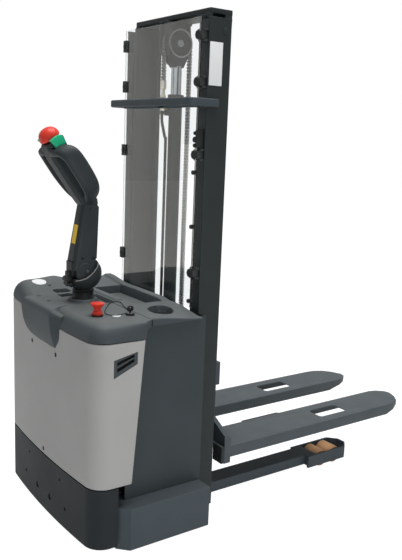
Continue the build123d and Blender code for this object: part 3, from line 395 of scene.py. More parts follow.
def modify(piece, kind, **settings):
    """Add a modifier and apply it."""
    pick(piece)
    change = piece.modifiers.new("shaping", kind)
    for name, value in settings.items():
        setattr(change, name, value)
    bpy.ops.object.modifier_apply(modifier=change.name)
    return piece


def rounded(piece, width, segments=3, angle=30):
    """Round the edges sharper than an angle."""
    return modify(piece, "BEVEL", width=width / 1000, segments=segments, limit_method="ANGLE",
                  angle_limit=radians(angle))


def cut(piece, *tools):
    """Take the shape of each tool out of a piece."""
    for tool in tools:
        modify(piece, "BOOLEAN", operation="DIFFERENCE", object=tool, solver="EXACT")
        bpy.data.objects.remove(tool)
    return piece


def joined(name, *pieces):
    """Several pieces as one."""
    clear_selection()
    for piece in pieces:
        piece.select_set(True)
    bpy.context.view_layer.objects.active = pieces[0]
    if len(pieces) > 1:
        bpy.ops.object.join()
    pieces[0].name = pieces[0].data.name = name
    return pieces[0]


def dress(piece, slot, *replaced, body="chassis", finish=None, angle=35):
    """Give a piece its slot's finish, or another finish where one is given, smooth shading and its body, and
    hide the nodes it stands for.
    """
    piece.data.materials.clear()
    piece.data.materials.append(finish or slot_finish[slot])
    pick(piece)
    bpy.ops.object.shade_smooth_by_angle(angle=radians(angle))
    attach(piece, body)
    if replaced:
        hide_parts(*replaced)
    return piece


def ease(value):
    """Smooth step from 0 to 1."""
    value = min(max(value, 0), 1)
    return value * value * (3 - 2 * value)


def even(low, high, steps):
    """Evenly spaced values from low to high."""
    return [low + (high - low) * step / steps for step in range(steps + 1)]


def all_turns(steps):
    """Angles once round, evenly spaced."""
    return even(0, 2 * pi, steps)[:-1]


def span(side, near, far):
    """Width between two distances from the middle, on one side."""
    return tuple(sorted((side * near, side * far)))


def soft_box(low, high, half, high_corner, low_corner, steps):
    """Out and left on a section with round corners, from its low face to its high one."""
    points = []
    for quarter in range(4):
        corner = high_corner if quarter in (0, 3) else low_corner
        out = high - corner if quarter in (0, 3) else low + corner
        left = half - corner if quarter in (0, 1) else corner - half
        for turn in even(0, pi / 2, steps):
            way = quarter * pi / 2 + turn
            points.append((out + corner * cos(way), left + corner * sin(way)))
    return points


# Plan of the power unit: straight sides, round rear corners and a bowed rear that starts at a slant
body_half, body_rear, body_bow, body_corner, slant = 410, 520, 22, 74, radians(5)


def rear_line(left, inset=0):
    """Where the bowed rear lies, so far from the middle."""
    return -body_rear + inset + body_bow * (left / (body_half - inset)) ** 2


def corner_middle(inset):
    """Centre of the left rear corner's curve in plan."""
    radius = body_corner - inset
    left = body_half - body_corner
    return rear_line(left + radius * sin(slant), inset) + radius * cos(slant), left


def body_outline(front, inset):
    """Plan points from the left front edge round the rear to the right front edge."""
    radius = body_corner - inset
    middle, left = corner_middle(inset)
    points = [(ahead, body_half - inset) for ahead in even(front, middle, 12)]
    points += [(middle - radius * sin(turn), left + radius * cos(turn))
               for turn in even(0, radians(85), 12)[1:]]
    points += [(rear_line(across, inset), across) for across in even(points[-1][1], 0, 14)[1:]]
    return points + [(ahead, -across) for ahead, across in points[-2::-1]]


# Rear cover: a grey moulded shell with a returned front edge
def cover_front(up):
    """Front edge of the rear cover, which leans forward as it rises."""
    return -345 + 44 * (up - 275) / 545


def seam_rise(left):
    """How much higher the seam under the top cover runs towards the left."""
    return 22 * ease((left + 330) / 700)


cover_rows = []
for up, inset in ((275, 3.5), (275.6, 1.8), (277, 0.6), (280, 0), *((up, 0) for up in even(320, 780, 12)),
                  (815, 0), (818, 0.6), (819.4, 1.8), (820, 3.5)):
    front = cover_front(up)
    outline = body_outline(front - 6, inset)
    rim = [(front, 357), (front, 404 - inset), (front - 1.8, 408 - inset)]
    cover_rows.append([(ahead, left, up + seam_rise(left) * max(0, up - 780) / 40) for ahead, left in
                       rim + outline + [(ahead, -left) for ahead, left in reversed(rim)]])
rear_shell = faced(laid("rear_cover_shell", cover_rows, shut=False))
modify(rear_shell, "SOLIDIFY", thickness=0.003, offset=-1)
vent_outline = ((-430, 692), (-334, 735), (-334, 781), (-430, 760))
screw_places = ((-113, 715), (113, 715), (0, 296))
for side in (-1, 1):
    cut(rear_shell, side_plate("vent_tool", vent_outline, side * 395, side * 25))
for left, up in screw_places:
    cut(rear_shell, rod("screw_tool", (-540, left, up), (-490, left, up), 9.5, 24))
dress(rear_shell, "grey_cover", "rear_cover")

# Vent insert: a slate frame with two slanted slots over a black back
vent_slots = (((-416, 712), (-346, 744), (-346, 757), (-416, 729)),
              ((-416, 736), (-346, 762), (-346, 772), (-416, 753)))
vent_pieces, vent_backs = [], []
for side in (-1, 1):
    plate = side_plate("vent_frame", vent_outline, side * 398, side * 11)
    for slot in vent_slots:
        cut(plate, side_plate("vent_slot", slot, side * 390, side * 30))
    vent_pieces.append(rounded(plate, 1.5))
    vent_backs.append(side_plate("vent_back", vent_outline, side * 392, side * 4))
dress(joined("vent_frames", *vent_pieces), "dark_plastic", "vent_grilles")
dress(rounded(joined("vent_backs", *vent_backs), 1), "black_plastic")

# Screws sunk in the rear cover, each a domed head with a driver recess
sunk_screws = []
for left, up in screw_places:
    deep = rear_line(left)
    head = turned("sunk_screw", (deep + 8, left, up), rearward, ((8.5, 0), (8.5, 2), (7, 3.6), (3.5, 4.2)), 24)
    cut(head, rod("driver_tool", (deep - 4, left, up), (deep + 4.6, left, up), 2.2, 6))
    sunk_screws.append(head)
dress(joined("sunk_screws", *sunk_screws), "bare_steel", "cover_screws", finish=black_nylon)


# Top cover, whose flat lies at one height, with a slanted oval pocket in it
flat_up = 885
column_ahead = -351
pocket_ahead, pocket_left, pocket_cos, pocket_sin, pocket_floor = -148, -257, 0.81, 0.58, 861


def inside(value, low, high, edge):
    """One between two values, falling off over an edge on both sides."""
    return ease((value - low) / edge + 0.5) * ease((high - value) / edge + 0.5)


def cover_height(ahead, left):
    """Height of the top cover: a flat with a raised left side, a tray, slots and a pocket."""
    up = flat_up + (16 + 12 * ease((-225 - ahead) / 90)) * ease((left - 195) / 160)
    up += 7 * inside(ahead, -66, 20, 14) * ease((left + 150) / 60)
    up -= 32 * inside(ahead, -196, -70, 6) * inside(left, -135, 205, 6)
    up += 6 * inside(ahead, -236, -204, 9) * inside(left, -60, 190, 14)
    up -= 15 * inside(ahead, -290, -250, 6) * inside(left, -72, 92, 6)
    up -= 18 * inside(ahead, -382, -318, 5) * inside(left, 176, 226, 5)
    up -= 18 * inside(ahead, -394, -338, 5) * inside(left, 98, 144, 5)
    along = (ahead - pocket_ahead) * pocket_cos - (left - pocket_left) * pocket_sin
    deep = (ahead - pocket_ahead) * pocket_sin + (left - pocket_left) * pocket_cos
    up -= 24 * ease((1 - (along / 49) ** 2 - (deep / 62) ** 2) * 5)
    up += 13 * ease((66 - hypot(ahead - column_ahead, left)) / 14)
    up -= 20 * ease((-left - 190) / 185) * ease((ahead + 262) / 232)
    return up


def coons(front, rear, left, right):
    """Rows of points filling four edges: front and rear run across, left and right run back."""
    rows = []
    for step, (on_left, on_right) in enumerate(zip(left, right)):
        down = step / (len(left) - 1)
        row = []
        for place, (on_front, on_rear) in enumerate(zip(front, rear)):
            over = place / (len(front) - 1)
            spot = []
            for part in (0, 1):
                edges = (on_front[part] * (1 - down) + on_rear[part] * down
                         + on_left[part] * (1 - over) + on_right[part] * over)
                corners = ((front[0][part] * (1 - over) + front[-1][part] * over) * (1 - down)
                           + (rear[0][part] * (1 - over) + rear[-1][part] * over) * down)
                spot.append(edges - corners)
            row.append(tuple(spot))
        rows.append(row)
    return rows


def moulded_cap(name, outer, crest, drop, foot, across, back):
    """Shell with a relief on top, whose rim rolls over from crest to outer line and drops to its foot."""
    rings = [[(cx + (ox - cx) * 0.8, cy + (oy - cy) * 0.8, foot(ox, oy))
              for (ox, oy), (cx, cy) in zip(outer, crest)],
             [(ox, oy, foot(ox, oy)) for ox, oy in outer]]
    for turn in even(0, pi / 2, 9):
        ring = []
        for (ox, oy), (cx, cy) in zip(outer, crest):
            top = cover_height(cx, cy)
            fall = min(drop(ox, oy), top - foot(ox, oy) - 1)
            ring.append((cx + (ox - cx) * cos(turn), cy + (oy - cy) * cos(turn), top - fall * (1 - sin(turn))))
        rings.append(ring)
    front = crest[:across + 1]
    right = crest[across:across + back + 1]
    rear = crest[across + back:2 * across + back + 1][::-1]
    left = (crest[2 * across + back:] + crest[:1])[::-1]
    field = [[(x, y, cover_height(x, y)) for x, y in row] for row in coons(front, rear, left, right)]
    return faced(joined(name, laid("cap_rim", rings), laid("cap_field", field, shut=False)))


def all_round(front, side, rear):
    """Closed plan from its front edge, right side and right half of its rear edge, the same on the left."""
    return front + side + rear + [(x, -y) for x, y in rear[-2::-1]] + [(x, -y) for x, y in side[::-1]]


# Rear part: its rim is a broad roll at the rear that tightens to a small one at the seam
seam, seam_half, small_roll, broad_roll = -264, 387, 10, 60
middle, corner_left = corner_middle(0)


def shoulder(ahead):
    """Radius of the shoulder's roll along the side."""
    return small_roll + (broad_roll - small_roll) * ease((seam - 8 - ahead) / (seam - 8 - middle))


def roll_of(crest):
    """Front edge, side and rear half of the rear part's plan: its crest or its outer line."""
    front = [(seam - 1.5 * crest, left * (1 - small_roll / seam_half * crest))
             for left in even(seam_half, -seam_half, 200)]
    side = [(min(ahead, seam - 1.5 * crest),
             -body_half + (body_half - seam_half) * ease((ahead + 300) / 36) + crest * shoulder(ahead))
            for ahead in even(seam, middle, 50)[1:]]
    radius = body_corner - broad_roll * crest
    bend = [(middle - radius * sin(turn), -corner_left - radius * cos(turn))
            for turn in even(0, radians(85), 32)[1:]]
    rear_half = corner_left + body_corner * sin(slant)
    reach = (corner_left + radius * sin(slant)) / rear_half
    rear = [(rear_line(left) + broad_roll * cos(slant) * crest, left * reach)
            for left in even(-rear_half, 0, 84)[1:]]
    return front, side + bend[:16], bend[16:] + rear


def rear_drop(ahead, left):
    """Height of the roll round the rear part's rim."""
    if ahead > seam - 0.5:
        return 2
    return (shoulder(ahead) if ahead > middle else broad_roll) + 2


top_rear = moulded_cap("top_cover_rear", all_round(*roll_of(0)), all_round(*roll_of(1)), rear_drop,
                       lambda ahead, left: 823 + max(seam_rise(left), 34 * ease((ahead + 302) / 6)), 200, 66)
bpy.ops.object.mode_set(mode="EDIT")
bpy.ops.mesh.select_all(action="DESELECT")
bpy.ops.object.mode_set(mode="OBJECT")
for face in top_rear.data.polygons:
    place = face.center - Vector(at(column_ahead, 0, 898))
    face.select = hypot(place.x, place.y) < 0.04 and abs(place.z) < 0.03
bpy.ops.object.mode_set(mode="EDIT")
bpy.ops.mesh.delete(type="FACE")
bpy.ops.object.mode_set(mode="OBJECT")
dress(top_rear, "dark_plastic", "top_cover", angle=40)


# Console ahead of the seam, with a thin lip along its sides
console_front, console_half, lip_width = -30, 377, 8


def lip_of(crest):
    """Front edge, side and rear half of the console's plan: its crest or its outer line."""
    front_line, rear_edge = console_front - 4 * crest, seam + 2 + 0.8 * crest
    narrower = 1 - lip_width / console_half * crest
    front = [(front_line, left * narrower) for left in even(console_half, -console_half, 190)]
    side = [(ahead, -console_half + lip_width * crest) for ahead in even(front_line, rear_edge, 58)[1:]]
    rear = [(rear_edge, left * narrower) for left in even(-console_half, 0, 95)[1:]]
    return front, side, rear


def lip_foot(ahead, left):
    """Foot of the console's rim: the front wall comes down further than the lip."""
    return 824 if abs(left) < 350 else 856 + 4 * (ahead - seam) / 232


top_front = moulded_cap("top_cover_console", all_round(*lip_of(0)), all_round(*lip_of(1)),
                        lambda ahead, left: 2 if ahead < seam + 3 else 8, lip_foot, 190, 58)
dress(top_front, "dark_plastic", "top_cover", angle=40)


# Tongue: a flap that leaves the flat and hangs over the rear cover, with a rolled edge and a wall round it
tongue_start, tongue_up, flat_run, bend, bend_up = -440, 886, 76, 25, 861
tongue_face = tongue_start - flat_run - bend
level_run = flat_run + bend * pi / 2 + bend_up


def along_tongue(run):
    """Place and outward way on the tongue's middle line, so far along it."""
    if run < flat_run:
        return (tongue_start - run, tongue_up), (0, 1)
    if run < flat_run + bend * pi / 2:
        turn = (run - flat_run) / bend
        return (tongue_face + bend - bend * sin(turn), bend_up + bend * cos(turn)), (-sin(turn), cos(turn))
    up = level_run - run
    return (tongue_face + 21 * ((bend_up - up) / 121) ** 2.2, up), (-1, 0)


def hung(*places):
    """Runs along the tongue of places below its bend, from their height and their distance left."""
    return [(level_run - up, left) for up, left in places]


tongue_right = [(0, -50), (30, -61), (64, -78), (90, -100)]
tongue_right += hung((850, -107), (800, -108), (765, -109), (742, -111))
tongue_left = [(0, 164), (60, 164)] + hung((858, 167), (826, 163), (789, 157), (762, 140), (747, 108))
tongue_foot = hung((747, 108), (742, 60), (738, -14), (738, -70), (742, -111))


def smooth_line(points, steps):
    """Points spread evenly along a smooth line through a few."""
    line = []
    ends = [points[0]] + points + [points[-1]]
    for first, second, third, fourth in zip(ends, ends[1:], ends[2:], ends[3:]):
        for step in range(12):
            t = step / 12
            line.append(tuple(0.5 * (2 * b + (c - a) * t + (2 * a - 5 * b + 4 * c - d) * t * t
                                     + (3 * b - a - 3 * c + d) * t * t * t)
                              for a, b, c, d in zip(first, second, third, fourth)))
    line.append(points[-1])
    lengths = [0]
    for one, two in zip(line, line[1:]):
        lengths.append(lengths[-1] + hypot(*(b - a for a, b in zip(one, two))))
    spread, place = [], 0
    for goal in even(0, lengths[-1], steps):
        while place < len(line) - 2 and lengths[place + 1] < goal:
            place += 1
        part = (goal - lengths[place]) / max(lengths[place + 1] - lengths[place], 1e-9)
        spread.append(tuple(a + (b - a) * part for a, b in zip(line[place], line[place + 1])))
    return spread


tongue_flat = coons(smooth_line([(0, 164), (0, 57), (0, -50)], 40), smooth_line(tongue_foot, 40),
                    smooth_line(tongue_left, 60), smooth_line(tongue_right, 60))
edge = (tongue_flat[0] + [row[-1] for row in tongue_flat[1:]] + tongue_flat[-1][-2::-1]
        + [row[0] for row in tongue_flat[-2:0:-1]])
rings = []
for fall in (1, 0.85, 0.7, 0.55, 0.4, 0.27, 0.16, 0.08, 0.03, 0):
    ring = []
    for place, (run, left) in enumerate(edge):
        before, after = edge[place - 1], edge[(place + 1) % len(edge)]
        way = Vector((after[0] - before[0], after[1] - before[1])).normalized()
        out = Vector((way[1], -way[0])) if run > 1 else Vector((0, 0))
        (x, z), (nx, nz) = along_tongue(run)
        wall = 150 - 35 * min(max((785 - z) / 44, 0), 1) ** 2
        to_wall = ease(-1.6 * out[1]) * max(0, wall + left) * ease((run - 30) / 70)
        reach = (2 + 6 * ease(out[1]) + to_wall) * fall
        sunk = 4 + 23 * ease(run / 90) - 0.9 * max(0, x - tongue_face) * (z < bend_up)
        sunk = sunk * 1.05 * fall * fall / (fall + 0.05)
        ring.append((x - nz * out[0] * reach - nx * sunk, left + out[1] * reach,
                     z + nx * out[0] * reach - nz * sunk))
    rings.append(ring)
rings.insert(0, [(tongue_start + 0.3 * (x - tongue_start), y, 760 + 0.3 * (z - 760)) for x, y, z in rings[0]])
sheet = [[(along_tongue(run)[0][0], left, along_tongue(run)[0][1]) for run, left in row] for row in tongue_flat]
tongue = joined("top_cover_tongue", laid("tongue_rim", rings), laid("tongue_field", sheet, shut=False))
dress(faced(tongue), "dark_plastic", angle=40)

# Blank plugs let into the flat, and a blank round badge on its left side
plug_profile = ((9, 0), (9, 3.2), (8, 3.9), (6.5, 3.9), (6, 2.6))
plugs = []
for ahead, left in ((-375, 276), (-474, 150), (-474, 48)):
    up = cover_height(ahead, left) + (1 if ahead < -450 else 0)
    plugs.append(turned("cover_plug", (ahead, left, up - 3), upward, plug_profile, 28))
dress(joined("cover_plugs", *plugs), "black_plastic")
badge_rows = []
for size, lift in ((1, -1), (1, 1.4), (0.93, 2.2), (0.6, 2.6), (0.02, 2.8)):
    ring = [(-405 + 30 * size * cos(turn), 312 + 30 * size * sin(turn)) for turn in all_turns(40)]
    badge_rows.append([(ahead, left, cover_height(ahead, left) + lift) for ahead, left in ring])
dress(skin("cover_badge", badge_rows), "grey_cover", finish=badge_white)

# Black mat on the pocket's floor, a painted shade that darkens the recess, and the strip in the seam between the
# two parts of the cover
shade_mat_rows = []
for size, lift in ((1, -1), (1, 0.6), (0.95, 1.2), (0.5, 1.2), (0.02, 1.2)):
    ring = [(42 * size * cos(turn), 54 * size * sin(turn)) for turn in all_turns(48)]
    shade_mat_rows.append([(pocket_ahead + along * pocket_cos + deep * pocket_sin,
                      pocket_left - along * pocket_sin + deep * pocket_cos, pocket_floor + lift)
                     for along, deep in ring])
dress(skin("pocket_shade_mat", shade_mat_rows), "black_plastic")
strips = [block("seam_strip", (-265, -260.5), span(side, 366, 388.5), (857, 884)) for side in (-1, 1)]
dress(rounded(joined("seam_strip", *strips), 1), "black_plastic")


# Tiller head, in its own lengths: along to its end, out from its middle plane, and left
grip_lean = radians(35.5)
shaft_along, shaft_out, shaft_ahead, shaft_up = 236, 18, -465.9, 1481.2


def on_head(along, out, left):
    """Point from lengths on the tiller head, found from its throttle shaft."""
    along, out = along - shaft_along, out - shaft_out
    return (shaft_ahead - along * sin(grip_lean) + out * cos(grip_lean), left,
            shaft_up + along * cos(grip_lean) + out * sin(grip_lean))


def on_shaft(left):
    """Point on the throttle shaft's middle line."""
    return on_head(shaft_along, shaft_out, left)


def beside(line, place):
    """The points before and after one on a line."""
    return line[max(place - 1, 0)], line[min(place + 1, len(line) - 1)]


def bulged(value):
    """Sine or cosine drawn out towards a square."""
    return (1 if value > 0 else -1) * abs(value) ** 0.75


head_way = (-sin(grip_lean), 0, cos(grip_lean))
out_way = (cos(grip_lean), 0, sin(grip_lean))

# Spine down the middle, deeper at the end that carries the button
spine_sections = ((-18, -16, 30, 28), (-10, -24, 34, 32), (8, -30, 36, 33), (40, -31, 30, 33), (80, -31, 26, 33),
                  (190, -31, 26, 33), (206, -31, 42, 33), (222, -30, 52, 34), (252, -26, 56, 36),
                  (266, -21, 58, 36), (271, -14, 50, 30))
spine_rows = [[on_head(along, out, left) for out, left in soft_box(low, high, half, 12, 12, 6)]
              for along, low, high, half in spine_sections]
grip_parts = [skin("head_spine", spine_rows)]
# A grip each side: a thick bow that leaves the neck, rounds the hand and comes back under the wing
bow_line = smooth_line([(8, 26, 8, 26), (20, 52, 12, 29), (42, 80, 15, 33), (72, 97, 17, 35),
                        (112, 105, 17, 36), (160, 107, 17, 36), (200, 105, 16, 35), (222, 96, 12, 34),
                        (233, 79, 5, 31), (237, 56, -4, 27), (238, 28, -5, 26)], 60)
for side in (-1, 1):
    rows = []
    for place, (along, left, out, tall) in enumerate(bow_line):
        before, after = beside(bow_line, place)
        run = Vector((after[0] - before[0], after[1] - before[1])).normalized()
        row = []
        for turn in all_turns(28):
            broad = 16 * bulged(cos(turn))
            row.append(on_head(along - run[1] * broad, out + tall * bulged(sin(turn)),
                               side * (left + run[0] * broad)))
        rows.append(row)
    grip_parts.append(skin("hand_bow", rows))
grip = joined("tiller_grips", *grip_parts)
modify(grip, "REMESH", mode="VOXEL", voxel_size=0.0022)
modify(grip, "SMOOTH", factor=0.5, iterations=10)
for side in (-1, 1):
    cut(grip, rod("wing_room", on_shaft(side * 42), on_shaft(side * 66), 37, 48))
rocker_corners = ((86, -21), (154, -21), (154, 21), (86, 21))
cut(grip, prism("rocker_room", [on_head(along, 22, left) for along, left in rocker_corners],
                [30 * part for part in out_way]))
dress(grip, "tiller_plastic", "tiller_head", body="tiller", angle=50)

# Button at the head's end: a red dome over a black collar
button_line = on_head(0, shaft_out, 0)
dress(turned("button_dome", button_line, head_way,
             ((30, 277), (39, 277), (40.5, 279), (41, 283), (40, 290), (37, 298), (32.5, 305), (26, 311),
              (17.5, 315.2), (8, 317.4), (0.3, 317.8)), 64),
      "red_plastic", "belly_button", body="belly_button")
dress(turned("button_collar", button_line, head_way,
             ((20, 262), (35, 262), (36, 265), (34, 267), (36, 269), (34, 270.5), (20, 270.5))),
      "black_plastic", body="tiller")

# Throttle wings: a green paddle each side on one shaft
wings = [rod("wing_shaft", on_shaft(-58), on_shaft(58), 9, 24)]
wing_line = smooth_line([(284, -10), (285, 14), (281, 36), (264, 41), (246, 37), (241, 18), (230, -2),
                         (238, -12), (252, -4), (270, -5), (284, -10)], 44)[:-1]
for side in (-1, 1):
    paddle = prism("wing", [on_head(along, out, side * 46) for along, out in wing_line], (0, side * 17, 0))
    wings.append(rounded(paddle, 3, 3, 40))
dress(joined("throttle_wings", *wings), "green_plastic", "throttle_butterfly", body="throttle_butterfly")

# Tiller arm: a tapered moulded column with a round rear and a dark front, on a hub
lean = radians(6.4)
pivot_ahead, pivot_up = -357, 1003


def on_arm(along, back, left):
    """Point on the tiller arm from its pivot."""
    return (pivot_ahead + along * sin(lean) - back * cos(lean), left,
            pivot_up + along * cos(lean) + back * sin(lean))


def across_table(table, value):
    """Value between the rows of a short table."""
    for (one, first), (two, second) in zip(table, table[1:]):
        if value <= two:
            return first + (second - first) * (value - one) / (two - one)
    return table[-1][1]


arm_rear = [(0, 57), (46, 56), (290, 41), (312, 34)]
arm_front = [(0, 43), (46, 43), (262, 29), (290, 22), (312, 6)]
arm_half = [(0, 38), (46, 38), (290, 32), (312, 26)]
arm_corner = 20


def arm_rows(rear_of, front_of, slimmer, stations):
    """Sections up the arm, each pressed in by so much, with broad rear corners and small front ones."""
    rows = []
    for along, pressed in stations:
        rear, front = rear_of(along), front_of(along)
        half = across_table(arm_half, along) - slimmer - pressed
        section = soft_box(pressed - front, rear - pressed, half, min(arm_corner, (rear + front) / 2 - 1), 5, 8)
        rows.append([on_arm(along, back, left) for back, left in section])
    return rows


# The seam below the head is pressed in
stations = [(4, 3), (6, 0)] + [(along, 0) for along in even(20, 250, 10)]
stations += [(266, 0), (267, 1.6), (270, 1.6), (271, 0), (290, 0), (306, 0), (312, 3)]
arm = skin("arm_column", arm_rows(lambda along: across_table(arm_rear, along),
                                  lambda along: across_table(arm_front, along) - 4, 0, stations))
cut(arm, block("damper_room", (-440, -394), (-27, 27), (990, 1050)))
for along, back in ((56, 22), (60, -22), (60, -30), (250, 10)):
    cut(arm, rod("arm_screw_tool", on_arm(along, back, -52), on_arm(along, back, -30), 3.5, 18))
hub = turned("arm_hub", (pivot_ahead, 0, pivot_up), leftward, mirrored((30, -41), (38, -40), (41, -37)))
dress(joined("arm_column", arm, hub), "tiller_plastic", "tiller_arm", body="tiller")
front_cap = skin("arm_front_cap", arm_rows(lambda along: 6 - across_table(arm_front, along),
                                           lambda along: across_table(arm_front, along), 1.5,
                                           [(60, 0), (160, 0), (262, 0)]))
dress(front_cap, "tiller_plastic", body="tiller", finish=black_nylon)


def round_rear(along, reach):
    """Point just off the arm's round rear, so far round it from the middle."""
    rear, flat = across_table(arm_rear, along) + 0.4, across_table(arm_half, along) - arm_corner
    turn = max(abs(reach) - flat, 0) / arm_corner
    left = min(abs(reach), flat) + arm_corner * sin(turn)
    return on_arm(along, rear - arm_corner + arm_corner * cos(turn), left if reach > 0 else -left)


plate_rows = [[round_rear(along, reach) for reach in even(-20, 11, 12)] for along in even(109, 183, 10)]
arm_plate = faced(laid("arm_plate", plate_rows, shut=False))
modify(arm_plate, "SOLIDIFY", thickness=0.0012, offset=0)
dress(rounded(arm_plate, 0.4), "zinc_yellow", body="tiller", finish=plate_yellow)

# Gas damper in the pocket below the arm, black, with its two eyes
damper = [block("damper_block", (-412, -390), (-26, 26), (992, 1048)),
          rod("damper_eye", (-419, -24, 978), (-419, 24, 978), 11, 24),
          rod("damper_eye", (-413, -30, 958), (-413, 30, 958), 9, 24),
          block("damper_link", (-424, -398), (-12, 12), (950, 1010))]
dress(rounded(joined("tilt_damper", *damper), 2), "black_plastic", body="tiller")

# Knuckle: a round cup below the arm's hub, open towards the arm, with a pale lip that paints the highlight along
# its rim, and the pivot bolts
knuckle = (-352, 0, 1000)
cup_profile = ((10, -55), (28, -54.5), (43, -52), (55, -47), (63, -38), (67, -23), (68, 0), (67, 23), (63, 38),
               (55, 47), (43, 52), (28, 54.5), (10, 55))
lip_line = smooth_line([(-440, 974), (-414, 977), (-389, 980), (-359, 989), (-331, 1011), (-307, 1042),
                        (-288, 1084)], 36)
above_lip = lip_line + [(-440, 1090)]
below_lip = [(ahead + 1, up - 3) for ahead, up in lip_line] + [(-250, 1084), (-250, 900), (-440, 900)]
cup = turned("knuckle_cup", knuckle, leftward, cup_profile, 72)
cut(cup, side_plate("cup_tool", above_lip, -80, 160),
    block("cup_rear_tool", (-430, -408), (-60, 60), (930, 1000)),
    turned("cup_core", knuckle, leftward, ((45, -45), (45, 45))))
dress(rounded(cup, 2, 3, 40), "tiller_plastic", "knuckle_cover", body="tiller")
# Pale grey lip along the cup's edge: a painted highlight
lip = turned("knuckle_highlight_lip", knuckle, leftward,
             [(radius + 0.8, height * 1.012) for radius, height in cup_profile], 72)
cut(lip, side_plate("lip_tool", above_lip, -80, 160), side_plate("lip_foot_tool", below_lip, -80, 160),
    turned("lip_core", knuckle, leftward, ((50, -48), (50, 48))),
    block("lip_rear_tool", (-450, -404), (-60, 60), (930, 1000)))
dress(lip, "tiller_plastic", body="tiller", finish=cover_grey)
bolt_profile = ((8.5, 0), (8.5, 1.5), (6.5, 2), (6.5, 5), (5, 6.5), (2, 6.5))
bolts = [turned("pivot_bolt", (-353, side * 39, 1010), (0, side, 0), bolt_profile, 24) for side in (-1, 1)]
dress(joined("pivot_bolts", *bolts), "bare_steel", body="tiller", finish=cast_iron)

# Collar: a black moulded boot round the steering column
dress(turned("collar_boot", (column_ahead, 0, 0), upward,
             ((34, 899), (45, 899), (45.5, 901), (43.5, 904), (42.5, 906), (42, 922), (40.5, 924), (42, 927),
              (42, 934), (39, 938), (40, 942), (36, 946), (33, 946)), 64),
      "tiller_plastic", "tiller_collar", body="steering", finish=black_nylon)

# Emergency stop: a red mushroom over a red collar on a black ring
stop_place = (-415, -250, flat_up)
dress(turned("stop_ring", stop_place, upward, ((14, 0), (22, 0), (22.5, 2), (21.5, 4.5), (19, 5), (14, 5))),
      "black_plastic", "console_fittings")
dress(turned("stop_collar", stop_place, upward,
             ((14, 5), (18, 5), (19.5, 8), (19, 15), (16.5, 19), (14.5, 20.8), (11, 20.8))),
      "red_plastic")
mushroom = turned("stop_mushroom", stop_place, upward,
                  ((10, 27.2), (13.5, 27.2), (15, 30), (18, 35), (23, 41), (25.5, 44.5), (26, 46.5), (25, 48.5),
                   (22.5, 49.2), (8, 48.6), (0.3, 48.5)), 60)
stop_neck = turned("stop_neck", stop_place, upward, ((8, 18), (12.5, 18), (12.5, 40), (8, 40)), 32)
dress(joined("stop_mushroom", mushroom, stop_neck), "red_plastic", "e_stop_button", body="e_stop_button")

# Key switch: a black ring with a steel face, and the key with its black bow
switch_place = (-300, -289, flat_up)
dress(turned("switch_ring", switch_place, upward,
             ((6, 0), (17, 0), (17.5, 3), (16, 7), (13, 8), (12, 6.5), (6, 6.5))),
      "black_plastic", "console_fittings")
dress(turned("switch_face", switch_place, upward, ((4.6, 5), (11.5, 5), (11.5, 7.4), (10.5, 8), (4.6, 8))),
      "bare_steel")
bow_edge = [(-300 + 13 * cos(turn) * (1 + 0.12 * abs(sin(2 * turn))), 909 + 11 * sin(turn))
            for turn in all_turns(28)]
key_bow = side_plate("key_bow", bow_edge, -291.5, 5)
cut(key_bow, rod("key_eye_tool", (-300, -300, 913), (-300, -280, 913), 3.5, 20))
key_neck = block("key_neck", (-304, -296), (-290.3, -287.7), (892, 901))
key = joined("key_blade", rounded(key_bow, 1.2), rounded(key_neck, 0.6))
dress(key, "bare_steel", "ignition_key", body="ignition_key", finish=black_nylon)
# Blank white tag lying on the cover below the lanyard
dress(turned("key_tag", (-352, -281, 885.2), upward, ((3, 0), (15, 0), (16, 0.5), (15, 1.1), (3, 1.1)), 40),
      "grey_cover", finish=badge_white)

# Inner mast: two rails open towards the middle, tied at the foot, with the top bar lying on their ends
rail_section = ((4, 233), (12, 233), (12, 236), (93, 236), (93, 204), (113, 204), (113, 246), (4, 246))
inner_parts = []
for side in (-1, 1):
    inner_parts += [rounded(plan_plate("inner_rail", rail_section, side, 170, 1815), 2.5, 2),
                    block("rail_gusset", (-1, 12), span(side, 226, 246), (220, 275)),
                    rod("roller_stub", (51.5, side * 241, 225), (51.5, side * 287, 225), 12)]
    inner_parts += [rounded(block("bar_ear", ears, span(side, 238, 272), (1950, 1993)), 1.5, 2)
                    for ears in ((22, 34), (91, 124))]
inner_parts += [rounded(block("foot_tie", (-14, 0), (-230, 230), (225, 264)), 2, 2),
                block("bar_spacer", (40, 112), (-246, 246), (1984, 1992)),
                rounded(block("top_bar", (22, 125), (-273, 273), (1991, 2011)), 3.5, 4)]
dress(joined("inner_rails", *inner_parts),
      "dark_frame_paint", "inner_mast", body="inner_mast", finish=shaded_mast_coat)

# Lift rod, and the painted yoke on its end that holds the chain wheel
lift_ahead = 60
dress(turned("lift_rod", (lift_ahead, 0, 0), upward,
             ((6, 186), (20, 186), (21, 188), (21, 1818), (6, 1818)), 64),
      "rod_chrome", "piston_rod", body="inner_mast")
cheek_line = ((-14, 1978), (105, 1978), (110, 1930), (113, 1905), (107, 1880), (94, 1845), (81, 1818),
              (39, 1818), (14, 1838), (-6, 1866), (-13, 1890), (-14, 1930))
yoke_parts = [rounded(block("yoke_top", (-14, 112), (-25, 25), (1976, 1985)), 1.5, 2),
              side_plate("yoke_root", ((38, 1812), (82, 1812), (92, 1841), (28, 1841)), -18, 36)]
yoke_parts += [rounded(side_plate("yoke_cheek", cheek_line, side * 17, side * 8), 1.5, 2) for side in (-1, 1)]
dress(joined("lift_yoke", *yoke_parts), "dark_frame_paint", "piston_rod", body="inner_mast", finish=shaded_mast_coat)
wheel_up = 1906
